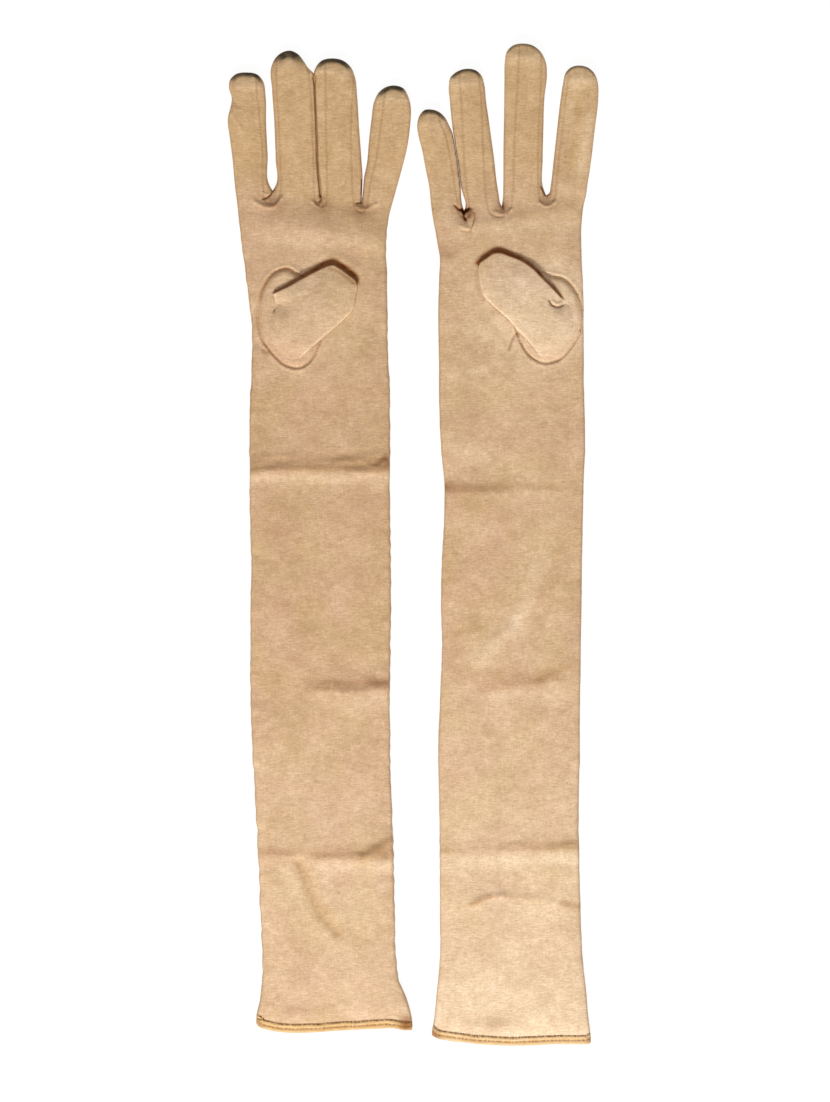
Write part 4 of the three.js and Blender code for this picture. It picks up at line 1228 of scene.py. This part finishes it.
def jersey_normal(g, rest, fields, ribs):
    """The knit's fine relief: flecks, grain and loops, with ribs as strong as asked for."""
    relief = g.math("MULTIPLY_ADD", fields["fleck"], 0.55, g.math("MULTIPLY", fields["grain"], 0.4))
    place = g.node("ShaderNodeSeparateXYZ", _0=rest).outputs
    wale, course = (g.math("SINE", g.math("MULTIPLY", place[k], 2 * math.pi / LOOP[k])) for k in (0, 1))
    loops = g.math("MULTIPLY", g.math("MULTIPLY", wale, course), 0.10)
    relief = g.math("ADD", g.math("ADD", relief, loops), g.math("MULTIPLY", wale, ribs))
    return g.node("ShaderNodeBump", Strength=0.55, Distance=KNIT_DEPTH, Height=relief).outputs[0]


def knit(name, olive, pink, ribs=0.0, hemmed=False):
    """Fine aged jersey: mottled colour, short flecks across the wales, soil in seams and stains, and
    painted highlights and shade.
    """
    g = Graph(name)
    rest = g.fact("rest")["Vector"]
    cloth, fields = jersey_colour(g, rest, g.fact("tone")["Fac"], linear(*olive), linear(*pink))
    cloth = g.mix(g.stretch(g.fact("seam")["Fac"], 0.05, 1.0, 0.0, 0.46), cloth, linear(*SEAM_BROWN))
    if hemmed:
        cloth = hem_colour(g, rest, cloth)
    cloth = soiled_and_shaded_colour(g, fields["patch"], cloth)
    rough = g.stretch(fields["fleck"], 0.3, 0.7, 0.93, 0.84)
    normal = jersey_normal(g, rest, fields, ribs)
    shader = g.node("ShaderNodeBsdfPrincipled", Base_Color=cloth, Roughness=rough, Normal=normal)
    shader.inputs["Specular IOR Level"].default_value = 0.08
    shader.inputs["Sheen Weight"].default_value = 0.08
    shader.inputs["Sheen Roughness"].default_value = 0.45
    shader.inputs["Sheen Tint"].default_value = linear(*SHEEN)
    g.node("ShaderNodeOutputMaterial", Surface=shader.outputs[0])
    return g.material


def thread(name, dark, light):
    """Sewing thread: two plies twisted, with a slight gloss."""
    g = Graph(name)
    rest = g.fact("rest")["Vector"]
    twist = {"bands_direction": "DIAGONAL"}
    ply = g.node("ShaderNodeTexWave", twist, Vector=g.scaled(rest, 0.5, 0.5, 0.5), Scale=1.0).outputs["Fac"]
    fibre = g.noise(g.scaled(rest, 0.8, 0.5, 0.8))
    share = g.math("MULTIPLY_ADD", ply, 0.4, g.math("MULTIPLY", fibre, 0.6))
    colour = g.mix(share, linear(*dark), linear(*light))
    normal = g.node("ShaderNodeBump", Strength=0.6, Distance=0.0001, Height=ply).outputs[0]
    rough = g.stretch(fibre, 0.3, 0.7, 0.55, 0.75)
    shader = g.node("ShaderNodeBsdfPrincipled", Base_Color=colour, Roughness=rough, Normal=normal)
    shader.inputs["Sheen Weight"].default_value = 0.2
    g.node("ShaderNodeOutputMaterial", Surface=shader.outputs[0])
    return g.material


MATERIALS = {
    "knit": knit("aged_jersey", (217, 183, 142), (220, 183, 149)),
    "seam": knit("jersey_at_seams", (211, 176, 133), (216, 178, 141)),
    "hem": knit("jersey_hem", (228, 194, 144), (234, 198, 152), ribs=0.12, hemmed=True),
    "thread": thread("seam_thread", (150, 104, 62), (188, 140, 92)),
}


# ------------------------------------------------------------------------------------------------- stitches
def stitch_row(plan, name, path, heights, sunk, thickness):
    """A row of short stitches along a path, each a small spindle half sunk in the cloth."""
    gaps = np.linalg.norm(np.diff(path, axis=0), axis=1)
    at = np.concatenate([[0], np.cumsum(gaps)])
    fat = np.sqrt(np.clip(1 - np.linspace(-0.98, 0.98, STITCH_RINGS) ** 2, 0, 1))
    rest, faces = [], []
    for start in np.arange(HEM_PITCH * 0.3, at[-1] - HEM_STITCH, HEM_PITCH):
        s = start + HEM_STITCH * np.linspace(0, 1, STITCH_RINGS)
        line = np.column_stack([np.interp(s, at, path[:, 0]), np.interp(s, at, path[:, 1])])
        run = line[-1] - line[0]
        run /= np.linalg.norm(run)
        across = np.array([-run[1], run[0]])
        z = heights(line)[0] - sunk
        faces += spindle_faces(len(rest))
        for i in range(STITCH_RINGS):
            for k in range(STITCH_SIDES):
                turn = 2 * math.pi * k / STITCH_SIDES
                side = across * math.cos(turn) * fat[i] * STITCH_WIDTH / 2
                rest.append((*(line[i] + side), z[i] + math.sin(turn) * fat[i] * thickness / 2))
    facts = {"soil_and_shade": np.zeros(len(rest))}
    return make_object(plan.spec, name, np.array(rest), faces, None, len(faces), MATERIALS["thread"], facts)


def spindle_faces(base):
    """The faces of one stitch, whose points start at number base: its rings and its two ends."""
    faces = []
    for i in range(STITCH_RINGS - 1):
        for k in range(STITCH_SIDES):
            a = base + i * STITCH_SIDES + k
            b = base + i * STITCH_SIDES + (k + 1) % STITCH_SIDES
            faces.append([a, a + STITCH_SIDES, b + STITCH_SIDES, b])
    last = base + (STITCH_RINGS - 1) * STITCH_SIDES
    faces.append([base + k for k in range(STITCH_SIDES)])
    faces.append([last + k for k in reversed(range(STITCH_SIDES))])
    return faces


def hem_stitches(plan):
    """Two rows of stitching round the hem, on the palm side and, flatter, on the back."""
    cuff = plan.chains[4]
    made = []
    for n, row in enumerate(HEM_ROWS):
        path = (cuff + inward(cuff) * row)[2:-2]
        made.append(stitch_row(plan, f"hem_stitches_palm_{n + 1}", path, plan.upper, 0.02, 0.32))
        made.append(stitch_row(plan, f"hem_stitches_back_{n + 1}", path, plan.lower, 0.0, 0.2))
    return made


# --------------------------------------------------------------------------------------------- the assembly
def hinge(plan, name):
    """A joint's place and axis in the row frame."""
    joint = joints[f"{plan.spec['side']}_{name}"]
    return Vector(joint["pos_m"]), Vector(joint["axis"])


def bend(obj):
    """Bakes obj's transform into its mesh; it does not bend it."""
    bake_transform(obj)


# The hand's pieces, each with its slot
HAND_PIECES = {
    "palm": "knit",
    "back": "knit",
    "thumb_side_seam": "seam",
    "outer_side_seam": "seam",
    "thumb_seam": "seam",
    "thumb_base": "knit",
    "index_middle_quirk": "knit",
    "middle_ring_quirk": "knit",
    "ring_little_quirk": "knit",
}
FINGER_PIECES = {
    "index": ("palm_side", "back_side", "side_seam", "fourchette_outer_side"),
    "middle": ("palm_side", "back_side", "fourchette_thumb_side", "fourchette_outer_side"),
    "ring": ("palm_side", "back_side", "fourchette_thumb_side", "fourchette_outer_side"),
    "little": ("palm_side", "back_side", "fourchette_thumb_side", "side_seam"),
}


def build_glove(spec):
    """Every piece of one glove; the hand's pieces and the hem's are put on their bodies."""
    plan = Plan(spec)
    cloth = glove_cloth(plan)
    build_hand(spec["side"], cloth)
    build_fingers(plan, cloth)
    build_sleeve(plan, cloth)
    build_thumb(plan)


def build_hand(side, cloth):
    for name, slot in HAND_PIECES.items():
        obj = cloth.piece(name, MATERIALS[slot])
        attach(obj, f"{side}_hand")
        node = f"{name}_panel" if name in ("palm", "back") else name
        finish_piece(f"{side}_{node}")


def build_fingers(plan, cloth):
    side = plan.spec["side"]
    for finger, parts in FINGER_PIECES.items():
        for part in parts:
            slot = "seam" if part == "side_seam" else "knit"
            obj = cloth.piece(f"{finger}_{part}", MATERIALS[slot])
            bend(obj)
            finish_piece(f"{side}_{finger}_{part}")


def build_sleeve(plan, cloth):
    """The sleeve's three lengths, and the hem with its stitches."""
    side = plan.spec["side"]
    for name, a, b, fold in SLEEVES:
        obj = cloth.piece(name, MATERIALS["knit"])
        bend(obj)
        finish_piece(f"{side}_{name}")
    hem = cloth.piece("hem", MATERIALS["hem"])
    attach(hem, f"{side}_cuff")
    finish_piece(f"{side}_hem")
    for obj in hem_stitches(plan):
        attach(obj, f"{side}_cuff")


def build_thumb(plan):
    """The thumb, as one piece. The direction away from the hinge's line is worked out but not used, and the
    thumb is not bent.
    """
    side, mirror = plan.spec["side"], plan.spec["mirror"]
    thumb = Thumb(plan).cloth().piece("thumb", MATERIALS["knit"])
    pos, axis = hinge(plan, "thumb_swing")
    out = Vector((-axis.y, axis.x, 0)).normalized()
    x, y = plan.spec["thumb_free"][8]
    origin = plan.spec["origin"]
    to_tip = Vector((x * mirror * MM + origin[0], y * MM + origin[1], 0)) - pos
    out = out if out.dot(to_tip) > 0 else -out
    bend(thumb)
    finish_piece(f"{side}_thumb")


def finish_piece(node):
    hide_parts(node)


def declare(side, on):
    """The names of the places that a piece lies on; nothing is done with them."""
    on = [place if place == "floor" else f"{side}_{place}_cloth" for place in on]


def declare_glove(side):
    """Calls declare with the places that the pieces of cloth of one glove lie on."""
    declare(side, ["floor"])
    declare(side, ["back"])
    declare(side, ["back"])
    declare(side, ["palm", "thumb_base"])
    for finger, parts in FINGER_PIECES.items():
        declare(side, ["floor"])
        declare(side, [f"{finger}_back_side"])
    declare(side, ["floor"])
    declare(side, ["floor"])
    declare(side, ["floor"])


# ---------------------------------------------------------------------------------------- camera and light
VIEW_HEIGHT = 0.6502  # how much of the table the picture shows, from bottom to top
VIEW_CENTRE = (0.0005, -0.0043)
CAMERA_HEIGHT = 3.0
MID_HEIGHT = 0.005
SENSOR = 36.0
FLOOR_REACH = 6.0
FLOOR_PAINT = (0.10, 0.10, 0.10, 1)  # catches the faint shadows
FLOOR_GLOW = 0.94  # and the rest of its white
SKY_COLOUR = (1.0, 0.92, 0.82, 1)
SKY_STRENGTH = 0.30
# Each light's name, place, diameter, power in watts and colour
LIGHTS = (
    ("key", (-0.35, -2.2, 1.45), 0.45, 66, (1.0, 0.98, 0.95)),
    ("fill", (0.9, 1.3, 2.4), 1.6, 12, (0.96, 0.98, 1.0)),
)


def make_camera():
    data = bpy.data.cameras.new("camera")
    data.sensor_width = SENSOR
    data.lens = SENSOR * (CAMERA_HEIGHT - MID_HEIGHT) / VIEW_HEIGHT
    data.dof.use_dof = False
    camera = bpy.data.objects.new("camera", data)
    camera.location = (*VIEW_CENTRE, CAMERA_HEIGHT)
    bpy.context.scene.collection.objects.link(camera)
    bpy.context.scene.camera = camera


def area_light(name, place, size, power, colour):
    """A round light that faces the middle of the table."""
    data = bpy.data.lights.new(name, "AREA")
    data.shape = "DISK"
    data.size = size
    data.energy = power
    data.color = colour
    light = bpy.data.objects.new(name, data)
    light.location = place
    light.rotation_mode = "QUATERNION"
    light.rotation_quaternion = (-Vector(place)).to_track_quat("-Z", "Y")
    bpy.context.scene.collection.objects.link(light)


def make_floor():
    g = Graph("pale_floor")
    paint = g.node("ShaderNodeBsdfDiffuse", Color=FLOOR_PAINT)
    glow = g.node("ShaderNodeEmission", Color=(1, 1, 1, 1), Strength=FLOOR_GLOW)
    both = g.node("ShaderNodeAddShader", _0=paint.outputs[0], _1=glow.outputs[0])
    g.node("ShaderNodeOutputMaterial", Surface=both.outputs[0])
    mesh = bpy.data.meshes.new("floor")
    r = FLOOR_REACH
    mesh.from_pydata([(-r, -r, 0), (r, -r, 0), (r, r, 0), (-r, r, 0)], [], [(0, 1, 2, 3)])
    mesh.materials.append(g.material)
    floor = bpy.data.objects.new("floor", mesh)
    bpy.context.scene.collection.objects.link(floor)


def make_stage():
    make_floor()
    world = bpy.data.worlds.new("studio")
    world.use_nodes = True
    sky = world.node_tree.nodes["Background"]
    sky.inputs["Color"].default_value = SKY_COLOUR
    sky.inputs["Strength"].default_value = SKY_STRENGTH
    bpy.context.scene.world = world
    bpy.context.scene.view_settings.view_transform = "Standard"
    for light in LIGHTS:
        area_light(*light)


make_camera()
make_stage()
for glove in (LEFT, RIGHT):
    build_glove(glove)
    declare_glove(glove["side"])
